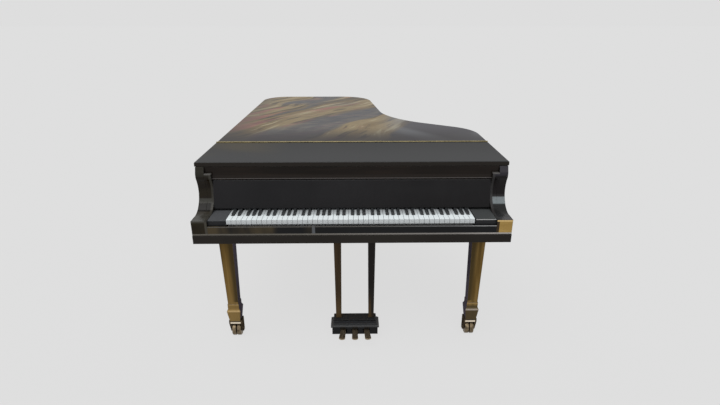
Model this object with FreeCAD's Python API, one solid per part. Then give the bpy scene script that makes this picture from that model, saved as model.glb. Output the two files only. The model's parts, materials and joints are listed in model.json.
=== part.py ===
import FreeCAD, Part
import math
import os

# Grand piano with a closed lid, an open fallboard and three caster legs.
# Millimetres. X runs to the player's right, Y from the player to the tail, Z up.
# Lengths along Y are measured from the front of the key bed, and the finished
# pieces are moved back by half the length, so the origin is under the middle.

# Case, rim and lid
case_length = 2190.0
lid_width = 1486.0
lid_thick = 20.0
lid_overhang = 4.0
lid_edge_round = 4.0
rim_wall = 40.0
rim_height = 284.0
key_bed_bottom = 625.0
key_bed_thick = 40.0
key_bed_depth = 560.0
bumper_height = 2.0
bumper_radius = 8.0
running_gap = 0.3
glue_gap = 0.2

# Plan of the case: spine, rounded tail, leaning straight, bend and treble corner
tail_corner_radius = 190.0
tail_arc_radius = 250.0
tail_arc_x = -102.0
bent_lean = 6.3
bend_start = 1484.0
bend_radius = 600.0
bend_angle = 56.0
treble_radius = 240.0

# Arms: a low block at the front, then a scooped profile that rises to the lid
arm_front = 4.0
arm_block_height = 72.0
arm_block_depth = 50.0
scoop_depth = 159.0
scoop_rise = 90.0
scoop_heel_depth = 128.0
scoop_heel_rise = 24.0
scoop_back_depth = 148.0
scoop_back_rise = 145.0
scoop_back_swell = 156.5
nose_depth = 140.0
nose_rise = 167.0
nose_top_depth = 146.0
nose_top_rise = 195.0
arm_top_depth = 152.0
cheek_thick = 32.0
cheek_height = 253.0
cheek_depth = 435.0

# Keyboard
octaves = 7
end_block_width = 91.25
key_slit = 0.9
key_front = 22.0
key_length = 418.0
key_body_bottom = 713.0
key_body_height = 22.0
keyboard_offset = -8.0
sharp_front = 72.0
sharp_length = 60.0
sharp_share = 0.583
sharp_top_inset = 2.05
sharp_rise = 12.0
sharp_front_slope = 6.0
sharp_body_drop = 1.0
tail_slit = 1.2
balance_y = 260.0
block_gap_left = 1.2
block_gap_right = 4.3
block_front = 18.0
block_depth = 182.0
block_height = 70.0
slip_thick = 12.0
slip_height = 43.0

# Fallboard and the stretcher above it
stretcher_front = 162.0
stretcher_thick = 20.0
stretcher_height = 62.0
fallboard_front = 138.0
fallboard_lean = 11.9
fallboard_thick = 16.0
fallboard_bottom = 742.0
fallboard_top_gap = 2.0
fallboard_side_gap = 1.5
fallboard_round = 5.0
fallboard_pivot_setback = 5.0
fallboard_pivot_rise = 15.0
fallboard_pin_radius = 4.0
fallboard_pin_length = 12.0
pin_clearance = 0.05

# Music desk on its tray, folded flat under the front flap of the lid
tray_front = 183.0
tray_depth = 255.0
tray_thick = 10.0
tray_side_gap = 1.0
desk_width = 680.0
desk_depth = 214.0
desk_thick = 12.0
desk_lift = 4.0
desk_pivot_y = 206.0
desk_pin_radius = 2.5
desk_bracket_thick = 5.0
desk_bracket_gap = 0.4

# Lid: front flap, continuous brass hinge and the three hinges on the spine
flap_front = 159.0
fold_line = 546.0
fold_gap = 7.0
fold_axis_rise = 1.5
fold_leaf_thick = 1.5
fold_leaf_depth = 17.0
fold_barrel_radius = 3.0
fold_pin_radius = 1.3
fold_knuckles = 31
knuckle_gap = 0.4
spine_hinge_front = 760.0
spine_hinge_tail_gap = 430.0
spine_hinge_length = 90.0
spine_hinge_leaf = 26.0
spine_leaf_thick = 0.9
spine_barrel_radius = 2.5
spine_pin_radius = 1.2
spine_axis_outset = 1.5
spine_axis_drop = 1.0

# Lid prop, stowed along the bent side above the iron plate
prop_length = 680.0
prop_width = 20.0
prop_height = 16.0
prop_bend_gap = 55.862
prop_pivot_y = 1294.0
prop_heading = 38.0
prop_tilt = 10.0
prop_pin_radius = 4.0
prop_cheek = 6.0
prop_axis_rise = 13.0
prop_cup_side = 265.0
prop_cup_reach = 340.0
prop_cup_radius = 25.0
prop_cup_thick = 12.0

# Back work: belly rail, inner rim, braces, soundboard and ribs
belly_front = 525.0
belly_thick = 35.0
inner_rim_wall = 45.0
inner_rim_drop = 108.0
soundboard_under = 843.0
soundboard_thick = 9.0
soundboard_start = 530.0
rib_width = 26.0
rib_height = 22.0
rib_start = 640.0
rib_count = 8
rib_tail_gap = 325.0
brace_width = 50.0
brace_places = (-450.0, -150.0, 110.0)
leg_block_depth = 190.0
leg_block_thick = 45.0

# Strings, bridge, iron plate and pin block
string_seat = 890.0
unison_spread = 4.0
wound_spread = 6.0
plain_radius = 0.5
wound_radius = 2.2
wound_taper = 0.04
single_notes = 12
double_notes = 14
shortest_string = 88.0
string_tail_gap = 710.0
string_growth = 1.75
agraffe_y = 458.0
bearing_depth = 8.0
bridge_width = 30.0
hitch_distance = 70.0
hitch_pin_radius = 1.5
hitch_pin_depth = 4.0
plate_margin = 2.0
plate_front = 440.0
plate_under = 868.0
plate_thick = 12.0
plate_bar_drop = 18.0
plate_skirt = 20.0
plate_window_side = 59.0
plate_window_edge = 16.0
strut_notes = (26, 46, 66)
strut_width = 9.0
break_gap = 12.0
strut_under = 897.0
strut_height = 17.0
strut_landing = 60.0
pin_block_front = 250.0
pin_block_thick = 35.0
pin_block_under = 848.0
tuning_pin_radius = 2.6
tuning_pin_top = 912.0
tuning_pin_sunk = 28.0
tuning_row_front = 300.0
tuning_row_pitch = 36.0

# Action: key frame, levers, hammers, rails and dampers
frame_end_gap = 1.75
front_rail_start = 40.0
front_rail_depth = 50.0
front_rail_top = 700.0
balance_rail_depth = 40.0
balance_rail_top = 705.0
balance_bead_radius = 4.0
back_rail_start = 400.0
back_rail_depth = 40.0
back_rail_top = 690.0
frame_rib_thick = 15.0
frame_rib_width = 40.0
frame_rib_count = 5
frame_rib_inset = 14.0
action_side_gap = 42.0
action_bracket = 15.0
hammer_pivot_y = 340.0
hammer_pivot_z = 838.0
hammer_droop = 20.0
hammer_reach = 140.0
hammer_head_rise = 46.0
hammer_head_drop = 10.0
hammer_head_width = 10.0
hammer_head_depth = 24.0
hammer_head_tip = 8.0
hammer_shank = 5.0
butt_radius = 4.5
rail_depth = 17.0
rail_height = 20.0
lever_pivot_y = 428.0
lever_pivot_z = 765.0
lever_reach = 74.0
lever_width = 8.0
lever_thick = 12.0
lever_heel_y = 380.0
lever_heel_width = 7.0
jack_depth = 6.0
jack_top = 824.5
damped_notes = 62
damper_front = 505.0
damper_length = 70.0
damper_height = 18.0
damper_gap = 0.4
damper_wire_y = 515.0
damper_wire_radius = 0.8
damper_side_gap = 0.8
damper_wire_wall = 1.05
damper_tray_z = 760.0
damper_tray_thick = 15.0
damper_tray_half_depth = 7.0

# Legs and casters
leg_inset = 113.0
leg_y = 154.0
rear_leg_x = -300.0
rear_leg_setback = 310.0
leg_top_width = 68.0
leg_ankle_width = 53.0
leg_ankle_height = 212.0
foot_collar_width = 58.0
foot_shoulder_height = 185.0
foot_swell_width = 70.0
foot_swell_height = 172.0
foot_base_width = 54.0
foot_base_height = 106.0
leg_plate_thick = 3.0
leg_plate_width = 110.0
caster_trail = 12.0
caster_wheel_radius = 37.5
caster_wheel_width = 21.0
caster_wheel_split = 4.0
caster_wheel_hub = 20.0
caster_wheel_round = 4.0
caster_axle_radius = 5.0
caster_fork_width = 68.0
caster_fork_cheek = 9.0
caster_fork_plate = 19.0
caster_fork_drop = 24.0
caster_fork_half_depth = 22.0
caster_fork_back = 12.0
caster_stem_radius = 6.0
caster_stem_length = 30.0

# Lyre, pedal box, pedals and rods
lyre_x = 9.0
lyre_spread = 171.0
post_top_width = 38.0
post_foot_width = 28.0
post_y = 150.0
pedal_box_bottom = 45.0
pedal_box_half = 119.5
pedal_box_front = 92.0
pedal_box_depth = 92.0
pedal_box_height = 45.0
moulding_proud = 6.5
moulding_height = 10.0
moulding_stop = 17.0
step_inset = 7.0
step_height = 10.0
cap_inset = 10.0
cap_setback = 21.0
cap_height = 8.0
box_wall = 10.0
base_board_thick = 4.0
cavity_height = 47.0
pedal_slot_half = 18.0
pedal_slot_height = 33.0
pedal_pitch = 58.5
pedal_splay = 6.0
pedal_pivot_y = 119.0
pedal_pivot_z = 70.0
pedal_axle_radius = 4.0
pedal_axle_clearance = 0.1
pedal_hub_radius = 9.0
pedal_hub_width = 18.0
pedal_thick = 7.0
pedal_neck_width = 28.0
pedal_toe_width = 32.0
pedal_toe_start = 52.0
pedal_toe_bow = 8.0
pedal_reach = 95.0
pedal_slope = 5.0
pedal_tail_reach = 41.0
pedal_tail_past = 7.0
rod_radius = 3.0
rod_bore_radius = 4.5
rod_seat_gap = 0.5
rod_sunk = 23.0
rod_bore_sunk = 30.0
brace_rod_radius = 5.0
brace_rod_foot_z = 80.0
brace_rod_top_inset = 90.0

# Worked-out levels and widths
rim_bottom = key_bed_bottom + key_bed_thick
rim_top = rim_bottom + rim_height
lid_bottom = rim_top + bumper_height
lid_top = lid_bottom + lid_thick
rim_half = lid_width / 2 - lid_overhang
inner_inset = lid_overhang + rim_wall
inner_half = rim_half - rim_wall
cheek_half = inner_half - cheek_thick
cheek_top = rim_bottom + cheek_height
arm_block_top = rim_bottom + arm_block_height
white_count = 7 * octaves
note_count = 12 * octaves
keys_half = cheek_half - end_block_width
white_pitch = 2 * keys_half / white_count
note_pitch = 2 * keys_half / note_count
sharp_width = sharp_share * white_pitch
sharp_top_width = sharp_width - 2 * sharp_top_inset
keyboard_left = keyboard_offset - keys_half
keyboard_right = keyboard_offset + keys_half
frame_left = keyboard_left + frame_end_gap
frame_right = keyboard_right - frame_end_gap
action_half = cheek_half - action_side_gap
plate_window_half = inner_half - plate_window_side
longest_string = case_length - string_tail_gap
damper_wire_offset = note_pitch / 2
damper_head_right = damper_wire_offset + damper_wire_wall
damper_head_left = note_pitch - damper_side_gap - damper_head_right
bend_run = case_length - tail_arc_radius * (1 - math.sin(math.radians(bent_lean))) - bend_start
bend_x = tail_arc_x + tail_arc_radius * math.cos(math.radians(bent_lean))
bend_x += bend_run * math.tan(math.radians(bent_lean))
prop_pivot_x = bend_x - prop_bend_gap
prop_cup_x = prop_pivot_x + prop_cup_side
prop_cup_y = prop_pivot_y - prop_cup_reach
leg_x = rim_half - leg_inset
rear_leg_y = case_length - rear_leg_setback
brace_rod_top_y = key_bed_depth - brace_rod_top_inset
key_top = key_body_bottom + key_body_height
key_end = key_front + key_length
soundboard_top = soundboard_under + soundboard_thick
plate_top = plate_under + plate_thick
hammer_rail_back = hammer_pivot_y - butt_radius - running_gap
lever_rail_front = lever_pivot_y + butt_radius + running_gap
caster_axle_z = caster_wheel_radius
fork_top = foot_base_height - running_gap
pedal_box_top = pedal_box_bottom + pedal_box_height + moulding_height + step_height + cap_height

# Keys of one octave: the white keys with a sharp after them, and how far that
# sharp stands from the line between the two white keys, as a share of the pitch
sharp_offsets = {0: -0.11, 1: 0.11, 3: -0.145, 4: 0.0, 5: 0.145}
white_degrees = (0, 2, 4, 5, 7, 9, 11)
black_degrees = (1, 3, 6, 8, 10)

Vec = FreeCAD.Vector
X_AXIS = Vec(1, 0, 0)
Y_AXIS = Vec(0, 1, 0)
Z_AXIS = Vec(0, 0, 1)


def box(x0, x1, y0, y1, z0, z1):
    return Part.makeBox(x1 - x0, y1 - y0, z1 - z0, Vec(x0, y0, z0))


def rod_x(x0, x1, y, z, radius):
    return Part.makeCylinder(radius, x1 - x0, Vec(x0, y, z), X_AXIS)


def rod_y(x, y0, y1, z, radius):
    return Part.makeCylinder(radius, y1 - y0, Vec(x, y0, z), Y_AXIS)


def rod_z(x, y, z0, z1, radius):
    return Part.makeCylinder(radius, z1 - z0, Vec(x, y, z0), Z_AXIS)


def plan_prism(points, z0, z1):
    corners = [Vec(x, y, z0) for x, y in points]
    wire = Part.makePolygon(corners + corners[:1])
    return Part.Face(wire).extrude(Vec(0, 0, z1 - z0))


def side_prism(points, x0, x1):
    corners = [Vec(x0, y, z) for y, z in points]
    wire = Part.makePolygon(corners + corners[:1])
    return Part.Face(wire).extrude(Vec(x1 - x0, 0, 0))


def joined(*shapes):
    return shapes[0].fuse(list(shapes[1:])).removeSplitter().Solids[0]


def carved(shape, *tools):
    return shape.cut(list(tools)).Solids[0]


def save(node, *solids):
    shape = Part.makeCompound(list(solids)) if len(solids) > 1 else solids[0].copy()
    shape.translate(Vec(0, -case_length / 2, 0))
    shape.exportStep("parts/" + node + ".step")


def line(start, end):
    return Part.LineSegment(start, end).toShape()


def arc(start, middle, end):
    return Part.Arc(start, middle, end).toShape()


def outward(degrees):
    angle = math.radians(degrees)
    return Vec(math.cos(angle), math.sin(angle), 0)


def forward(degrees):
    angle = math.radians(degrees)
    return Vec(math.sin(angle), -math.cos(angle), 0)


def case_slab(inset, front, z0, z1):
    """Slab with the plan of the case, its edge parallel to the lid's at an inset."""
    half = lid_width / 2 - inset
    corner_centre = Vec(tail_corner_radius - lid_width / 2, case_length - tail_corner_radius, 0)
    tail_centre = Vec(tail_arc_x, case_length - tail_arc_radius, 0)
    lean_start = tail_centre + outward(bent_lean) * tail_arc_radius
    lean_run = (lean_start.y - bend_start) / math.cos(math.radians(bent_lean))
    bend_centre = lean_start + forward(bent_lean) * lean_run + outward(bent_lean) * bend_radius
    bend_end = bend_centre - outward(bend_angle) * bend_radius
    treble_start_x = lid_width / 2 - treble_radius * (1 - math.cos(math.radians(bend_angle)))
    treble_run = (treble_start_x - bend_end.x) / math.sin(math.radians(bend_angle))
    treble_centre = bend_end + forward(bend_angle) * treble_run - outward(bend_angle) * treble_radius

    def corner(degrees):
        return corner_centre + outward(degrees) * (tail_corner_radius - inset)

    def tail(degrees):
        return tail_centre + outward(degrees) * (tail_arc_radius - inset)

    def bend(degrees):
        return bend_centre - outward(degrees) * (bend_radius + inset)

    def treble(degrees):
        return treble_centre + outward(degrees) * (treble_radius - inset)

    front_left = Vec(-half, front, 0)
    front_right = Vec(half, front, 0)
    edges = [
        line(front_left, corner(180)),
        arc(corner(180), corner(135), corner(90)),
        line(corner(90), tail(90)),
        arc(tail(90), tail((90 + bent_lean) / 2), tail(bent_lean)),
        line(tail(bent_lean), bend(bent_lean)),
        arc(bend(bent_lean), bend((bent_lean + bend_angle) / 2), bend(bend_angle)),
        line(bend(bend_angle), treble(bend_angle)),
        arc(treble(bend_angle), treble(bend_angle / 2), treble(0)),
        line(treble(0), front_right),
        line(front_right, front_left),
    ]
    face = Part.Face(Part.Wire(edges))
    face.translate(Vec(0, 0, z0))
    return face.extrude(Vec(0, 0, z1 - z0))


def arm_scoop(x0, x1):
    """Cutter for the scooped front of the arms, above the low block."""
    def at(depth, rise):
        return Vec(x0, arm_front + depth, arm_block_top + rise)

    clear_front = at(-rim_wall, 0)
    clear_top = at(-rim_wall, rim_top - arm_block_top + rim_wall)
    block_back = at(arm_block_depth, 0)
    heel = at(scoop_heel_depth, scoop_heel_rise)
    deepest = at(scoop_depth, scoop_rise)
    swell = at(scoop_back_swell, (scoop_rise + scoop_back_rise) / 2)
    back = at(scoop_back_depth, scoop_back_rise)
    nose = at(nose_depth, nose_rise)
    nose_top = at(nose_top_depth, nose_top_rise)
    top = at(arm_top_depth, rim_top - arm_block_top)
    top_clear = Vec(x0, top.y, clear_top.z)
    edges = [
        line(clear_front, block_back),
        arc(block_back, heel, deepest),
        arc(deepest, swell, back),
        arc(back, nose, nose_top),
        line(nose_top, top),
        line(top, top_clear),
        line(top_clear, clear_top),
        line(clear_top, clear_front),
    ]
    return Part.Face(Part.Wire(edges)).extrude(Vec(x1 - x0, 0, 0))


def tapered_post(x, y, levels):
    """Square post from (height, width) levels, with flat sides between them."""
    rings = []
    for height, width in levels:
        half = width / 2
        corners = [
            Vec(x - half, y - half, height),
            Vec(x + half, y - half, height),
            Vec(x + half, y + half, height),
            Vec(x - half, y + half, height),
        ]
        rings.append(Part.makePolygon(corners + corners[:1]))
    return Part.makeLoft(rings, True, True)


def note_x(note):
    return (note + 0.5) * note_pitch - keys_half


def string_x(note):
    """Middle of a note's strings: the sections stand apart where a strut passes."""
    breaks = sum(1 for first in strut_notes if first <= note)
    return note_x(note) + (breaks - len(strut_notes) / 2) * break_gap


def speaking_end(note):
    """Where a string crosses the bridge: it grows each octave down, up to a limit."""
    free = shortest_string * string_growth ** ((note_count - 1 - note) / 12)
    return agraffe_y + 1 / math.sqrt(1 / free ** 2 + 1 / longest_string ** 2)


def string_places(note):
    """X places of the strings of one note: one, two or three."""
    middle = string_x(note)
    if note < single_notes:
        return [middle]
    if note < single_notes + double_notes:
        return [middle - wound_spread / 2, middle + wound_spread / 2]
    return [middle - unison_spread, middle, middle + unison_spread]


def string_radius(note):
    if note < single_notes + double_notes:
        return wound_radius - wound_taper * note
    return plain_radius


os.makedirs("parts", exist_ok=True)

# Key bed, with bores for the two pedal rods
key_bed = box(-rim_half, rim_half, 0, key_bed_depth, key_bed_bottom, rim_bottom)
post_places = (lyre_x - lyre_spread / 2, lyre_x + lyre_spread / 2)
rod_bores = []
for post_x in post_places:
    rod_bores.append(rod_z(post_x, post_y, 0, key_bed_bottom + rod_bore_sunk, rod_bore_radius))
key_bed = carved(key_bed, *rod_bores)
save("key_bed", key_bed)

# Outer rim with the two arms, notched for the spine hinges
spine_axis_x = -rim_half - spine_axis_outset
spine_axis_z = rim_top - spine_axis_drop
rim_outer = case_slab(lid_overhang, arm_front, rim_bottom, rim_top)
rim_inner = case_slab(inner_inset, arm_front - rim_wall, rim_bottom - rim_wall, rim_top + rim_wall)
rim = carved(rim_outer, rim_inner, arm_scoop(-lid_width, lid_width))
spine_hinge_last = case_length - spine_hinge_tail_gap
spine_hinge_middle = (spine_hinge_front + spine_hinge_last) / 2
spine_hinge_places = (spine_hinge_front, spine_hinge_middle, spine_hinge_last)
hinge_notches = []
for place in spine_hinge_places:
    notch_start = place - spine_hinge_length / 2 - running_gap
    notch_end = place + spine_hinge_length / 2 + running_gap
    notch_edge = spine_axis_x + spine_barrel_radius + running_gap
    notch_floor = spine_axis_z - spine_barrel_radius - running_gap
    hinge_notches.append(box(-lid_width, notch_edge, notch_start, notch_end, notch_floor, lid_top))
save("outer_rim", carved(rim, *hinge_notches))

# Cheeks that line the arms, bored for the fallboard's pins
fallboard_pivot_y = fallboard_front + fallboard_pivot_setback
fallboard_pivot_z = fallboard_bottom + fallboard_pivot_rise
fallboard_half = cheek_half - fallboard_side_gap
cheek_bore = rod_x(-fallboard_half - fallboard_pin_length - running_gap,
                   fallboard_half + fallboard_pin_length + running_gap,
                   fallboard_pivot_y, fallboard_pivot_z, fallboard_pin_radius + pin_clearance)
cheeks = []
for near, far in ((-inner_half, -cheek_half), (cheek_half, inner_half)):
    cheek = box(near, far, arm_front, arm_front + cheek_depth, rim_bottom, cheek_top)
    cheeks.append(carved(cheek, arm_scoop(near - rim_wall, far + rim_wall), cheek_bore))
save("arm_cheeks", *cheeks)

# Key slip in front of the keys and key blocks at both ends of the keyboard
save("key_slip", box(-cheek_half, cheek_half, arm_front, arm_front + slip_thick,
                     rim_bottom, rim_bottom + slip_height))
block_back = block_front + block_depth
block_top = rim_bottom + block_height
save("key_blocks",
     box(-cheek_half, keyboard_left - block_gap_left, block_front, block_back, rim_bottom, block_top),
     box(keyboard_right + block_gap_right, cheek_half, block_front, block_back, rim_bottom, block_top))

# Stretcher rail: it sits on the cheeks' ledges and drops between them
stretcher_back = stretcher_front + stretcher_thick
stretcher_bottom = rim_top - stretcher_height
save("stretcher", joined(
    box(-inner_half, inner_half, stretcher_front, stretcher_back, cheek_top, rim_top),
    box(-cheek_half, cheek_half, stretcher_front, stretcher_back, stretcher_bottom, cheek_top)))

# Fallboard standing open and leaning back, with its two pivot pins
fallboard_top = stretcher_bottom - fallboard_top_gap
board = box(-fallboard_half, fallboard_half, fallboard_front, fallboard_front + fallboard_thick,
            fallboard_bottom, fallboard_top)
long_edges = [edge for edge in board.Edges if edge.Length > fallboard_half]
board = board.makeFillet(fallboard_round, long_edges)
board.rotate(Vec(0, fallboard_pivot_y, fallboard_pivot_z), X_AXIS, -fallboard_lean)
fallboard_pins = rod_x(-fallboard_half - fallboard_pin_length, fallboard_half + fallboard_pin_length,
                       fallboard_pivot_y, fallboard_pivot_z, fallboard_pin_radius)
save("fallboard", joined(board, fallboard_pins))

# Desk tray on the cheeks' ledges, with the music desk folded flat on it
tray_top = cheek_top + tray_thick
tray_half = inner_half - tray_side_gap
save("desk_tray", box(-tray_half, tray_half, tray_front, tray_front + tray_depth, cheek_top, tray_top))
desk_axis_z = tray_top + desk_lift + desk_thick / 2
desk_half = desk_width / 2
desk = joined(
    box(-desk_half, desk_half, desk_pivot_y, desk_pivot_y + desk_depth,
        desk_axis_z - desk_thick / 2, desk_axis_z + desk_thick / 2),
    rod_x(-desk_half, desk_half, desk_pivot_y, desk_axis_z, desk_thick / 2))
desk_bore = rod_x(-desk_width, desk_width, desk_pivot_y, desk_axis_z, desk_pin_radius + pin_clearance)
save("music_desk", carved(desk, desk_bore))
bracket_near = desk_half + desk_bracket_gap
bracket_far = bracket_near + desk_bracket_thick
desk_brackets = []
for side in (-1, 1):
    ear = box(min(side * bracket_near, side * bracket_far), max(side * bracket_near, side * bracket_far),
              desk_pivot_y - desk_thick, desk_pivot_y + desk_thick, tray_top, desk_axis_z + desk_thick / 2)
    pin_end = side * (desk_half - desk_thick)
    pin = rod_x(min(pin_end, side * bracket_far), max(pin_end, side * bracket_far),
                desk_pivot_y, desk_axis_z, desk_pin_radius)
    desk_brackets.append(joined(ear, pin))
save("desk_brackets", *desk_brackets)

# Lid: main leaf with the case's plan, and the front flap
lid_half = lid_width / 2
leaf_front = fold_line + fold_gap / 2
main_leaf = case_slab(0, leaf_front, lid_bottom, lid_top)
main_rim_edges = []
for edge in main_leaf.Edges:
    middle = edge.valueAt((edge.FirstParameter + edge.LastParameter) / 2)
    on_top = abs(edge.BoundBox.ZMin - lid_top) < 1e-6
    if on_top and middle.y > leaf_front + fold_gap:
        main_rim_edges.append(edge)
main_leaf = main_leaf.makeFillet(lid_edge_round, main_rim_edges)
save("lid_main", main_leaf)
flap_back = fold_line - fold_gap / 2
flap = box(-lid_half, lid_half, flap_front, flap_back, lid_bottom, lid_top)
flap_edges = []
for edge in flap.Edges:
    on_top = edge.BoundBox.ZMin > lid_bottom
    if on_top and edge.BoundBox.YMin < flap_back - fold_gap:
        flap_edges.append(edge)
save("lid_front", flap.makeFillet(lid_edge_round, flap_edges))

# Continuous brass hinge between flap and main leaf: knuckles take turns, and the
# rear leaf carries the pin
fold_axis_z = lid_top + fold_axis_rise
knuckle_length = lid_width / fold_knuckles
plate_low = lid_top - fold_leaf_depth
plate_high = fold_axis_z - fold_barrel_radius - running_gap
rear_plate = (leaf_front - fold_leaf_thick, leaf_front)
front_plate = (flap_back, flap_back + fold_leaf_thick)
rear_leaf = [box(-lid_half, lid_half, *rear_plate, plate_low, plate_high)]
front_leaf = [box(-lid_half, lid_half, *front_plate, plate_low, plate_high)]
for knuckle in range(fold_knuckles):
    start = knuckle * knuckle_length - lid_half + knuckle_gap / 2
    end = start + knuckle_length - knuckle_gap
    barrel = rod_x(start, end, fold_line, fold_axis_z, fold_barrel_radius)
    if knuckle % 2 == 0:
        rear_leaf += [barrel, box(start, end, *rear_plate, plate_low, fold_axis_z)]
    else:
        front_leaf += [barrel, box(start, end, *front_plate, plate_low, fold_axis_z)]
fold_pin = rod_x(-lid_half + knuckle_gap, lid_half - knuckle_gap, fold_line, fold_axis_z, fold_pin_radius)
pin_bore = rod_x(-lid_width, lid_width, fold_line, fold_axis_z, fold_pin_radius + pin_clearance)
save("fold_hinge_rear_leaf", joined(*rear_leaf, fold_pin))
save("fold_hinge_front_leaf", carved(joined(*front_leaf), pin_bore))

# Three spine hinges: rim leaves with the pin, lid leaves with the middle knuckle
leaf_edge = spine_axis_x + spine_barrel_radius + running_gap
leaf_end = spine_axis_x + spine_hinge_leaf
rim_leaves = []
lid_leaves = []
for place in spine_hinge_places:
    start = place - spine_hinge_length / 2
    end = place + spine_hinge_length / 2
    third = spine_hinge_length / 3
    rim_knuckles = ((start, start + third - knuckle_gap), (end - third + knuckle_gap, end))
    lid_knuckle = (start + third, end - third)
    rim_leaf = [box(leaf_edge, leaf_end, start, end, rim_top, rim_top + spine_leaf_thick)]
    for near, far in rim_knuckles:
        rim_leaf.append(rod_y(spine_axis_x, near, far, spine_axis_z, spine_barrel_radius))
        rim_leaf.append(box(spine_axis_x, leaf_end, near, far, rim_top, rim_top + spine_leaf_thick))
    rim_leaf.append(rod_y(spine_axis_x, start, end, spine_axis_z, spine_pin_radius))
    rim_leaves.append(joined(*rim_leaf))
    lid_leaf = joined(
        box(leaf_edge, leaf_end, start, end, lid_bottom - spine_leaf_thick, lid_bottom),
        box(spine_axis_x, leaf_end, *lid_knuckle, lid_bottom - spine_leaf_thick, lid_bottom),
        rod_y(spine_axis_x, *lid_knuckle, spine_axis_z, spine_barrel_radius))
    bore = rod_y(spine_axis_x, start - third, end + third, spine_axis_z, spine_pin_radius + pin_clearance)
    lid_leaves.append(carved(lid_leaf, bore))
save("spine_hinge_rim_leaves", *rim_leaves)
save("spine_hinge_lid_leaves", *lid_leaves)

# Rubber buttons on the rim that the lid rests on
bumper_inset = lid_overhang + rim_wall / 2
bumper_spots = [
    (rim_wall / 2 - rim_half, flap_front + rim_wall),
    (rim_half - rim_wall / 2, flap_front + rim_wall),
    (rim_half - rim_wall / 2, fold_line + rim_wall),
    (0 - rim_wall, case_length - bumper_inset),
    (tail_corner_radius - lid_half, case_length - bumper_inset),
]
save("lid_bumpers", *[rod_z(x, y, rim_top, lid_bottom, bumper_radius) for x, y in bumper_spots])

# Belly rail, inner rim and braces under the soundboard
belly_back = belly_front + belly_thick
save("belly_rail", box(-inner_half, inner_half, belly_front, belly_back, rim_bottom, soundboard_under))
liner_inset = inner_inset + glue_gap
liner_bottom = soundboard_under - inner_rim_drop
liner = carved(case_slab(liner_inset, belly_back, liner_bottom, soundboard_under),
               case_slab(liner_inset + inner_rim_wall, belly_front, liner_bottom - rim_wall, rim_top))
save("inner_rim", liner)
brace_room = case_slab(liner_inset, belly_back, rim_bottom, liner_bottom)
braces = []
for place in brace_places:
    beam = box(place - brace_width / 2, place + brace_width / 2, belly_back, case_length,
               rim_bottom, liner_bottom)
    braces.append(beam.common(brace_room).Solids[0])
bass_brace, middle_brace = brace_places[:2]
braces.append(box(bass_brace + brace_width / 2, middle_brace - brace_width / 2,
                  rear_leg_y - leg_block_depth / 2, rear_leg_y + leg_block_depth / 2,
                  rim_bottom, rim_bottom + leg_block_thick))
save("rim_braces", *braces)

# Soundboard and the ribs glued under it
board_inset = inner_inset + glue_gap
save("soundboard", case_slab(board_inset, soundboard_start, soundboard_under, soundboard_top))
rib_room = case_slab(liner_inset + inner_rim_wall + glue_gap, belly_back,
                     soundboard_under - rib_height, soundboard_under)
rib_pitch = (case_length - rib_tail_gap - rib_start) / (rib_count - 1)
ribs = []
for index in range(rib_count):
    rib_y = rib_start + index * rib_pitch
    rib = box(-lid_half, lid_half, rib_y, rib_y + rib_width,
              soundboard_under - rib_height, soundboard_under)
    ribs.append(rib.common(rib_room).Solids[0])
save("soundboard_ribs", *ribs)


def curve_through(points):
    curve = Part.BSplineCurve()
    curve.interpolate(points)
    return curve.toShape()


# Bridge: one long curve under all the strings, laid out note by note
curve_notes = list(range(0, note_count, 7)) + [note_count - 1]


def bridge_line(shift):
    return [Vec(string_x(note), speaking_end(note) + shift, 0) for note in curve_notes]


bridge_front = bridge_line(-bridge_width / 2)
bridge_back = bridge_line(bridge_width / 2)
bridge_edges = [
    curve_through(bridge_front),
    line(bridge_front[-1], bridge_back[-1]),
    curve_through(bridge_back),
    line(bridge_back[0], bridge_front[0]),
]
bridge_face = Part.Face(Part.Wire(bridge_edges))
bridge_face.translate(Vec(0, 0, soundboard_top))
save("string_bridge", bridge_face.extrude(Vec(0, 0, string_seat - soundboard_top)))

# Iron plate: a panel beyond the strings, a bar behind the pin block, a skirt that
# stands on the soundboard's edge, and struts that cross over the strings
hitch_line = bridge_line(hitch_distance - plate_window_edge)
window_left = Vec(-plate_window_half, hitch_line[0].y, 0)
window_right = Vec(plate_window_half, hitch_line[-1].y, 0)
near_left = Vec(-plate_window_half, agraffe_y, 0)
near_right = Vec(plate_window_half, agraffe_y, 0)
window_edges = [
    line(near_left, window_left),
    line(window_left, hitch_line[0]),
    curve_through(hitch_line),
    line(hitch_line[-1], window_right),
    line(window_right, near_right),
    line(near_right, near_left),
]
window_face = Part.Face(Part.Wire(window_edges))
window_face.translate(Vec(0, 0, plate_under - plate_thick))
window = window_face.extrude(Vec(0, 0, 3 * plate_thick))
plate_inset = inner_inset + plate_margin
plate_panel = carved(case_slab(plate_inset, plate_front, plate_under, plate_top), window)
plate_bar = box(-inner_half + plate_margin, inner_half - plate_margin, plate_front, agraffe_y,
                plate_under - plate_bar_drop, plate_top)
skirt = carved(
    case_slab(plate_inset, soundboard_start, soundboard_top, plate_under),
    case_slab(plate_inset + plate_skirt, soundboard_start - rim_wall, soundboard_top - rim_wall, rim_top))
bearing = box(string_x(0) - note_pitch, string_x(note_count - 1) + note_pitch, agraffe_y - bearing_depth,
              agraffe_y, plate_top, string_seat)
plate_pieces = [plate_panel, plate_bar, skirt, bearing]
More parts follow.
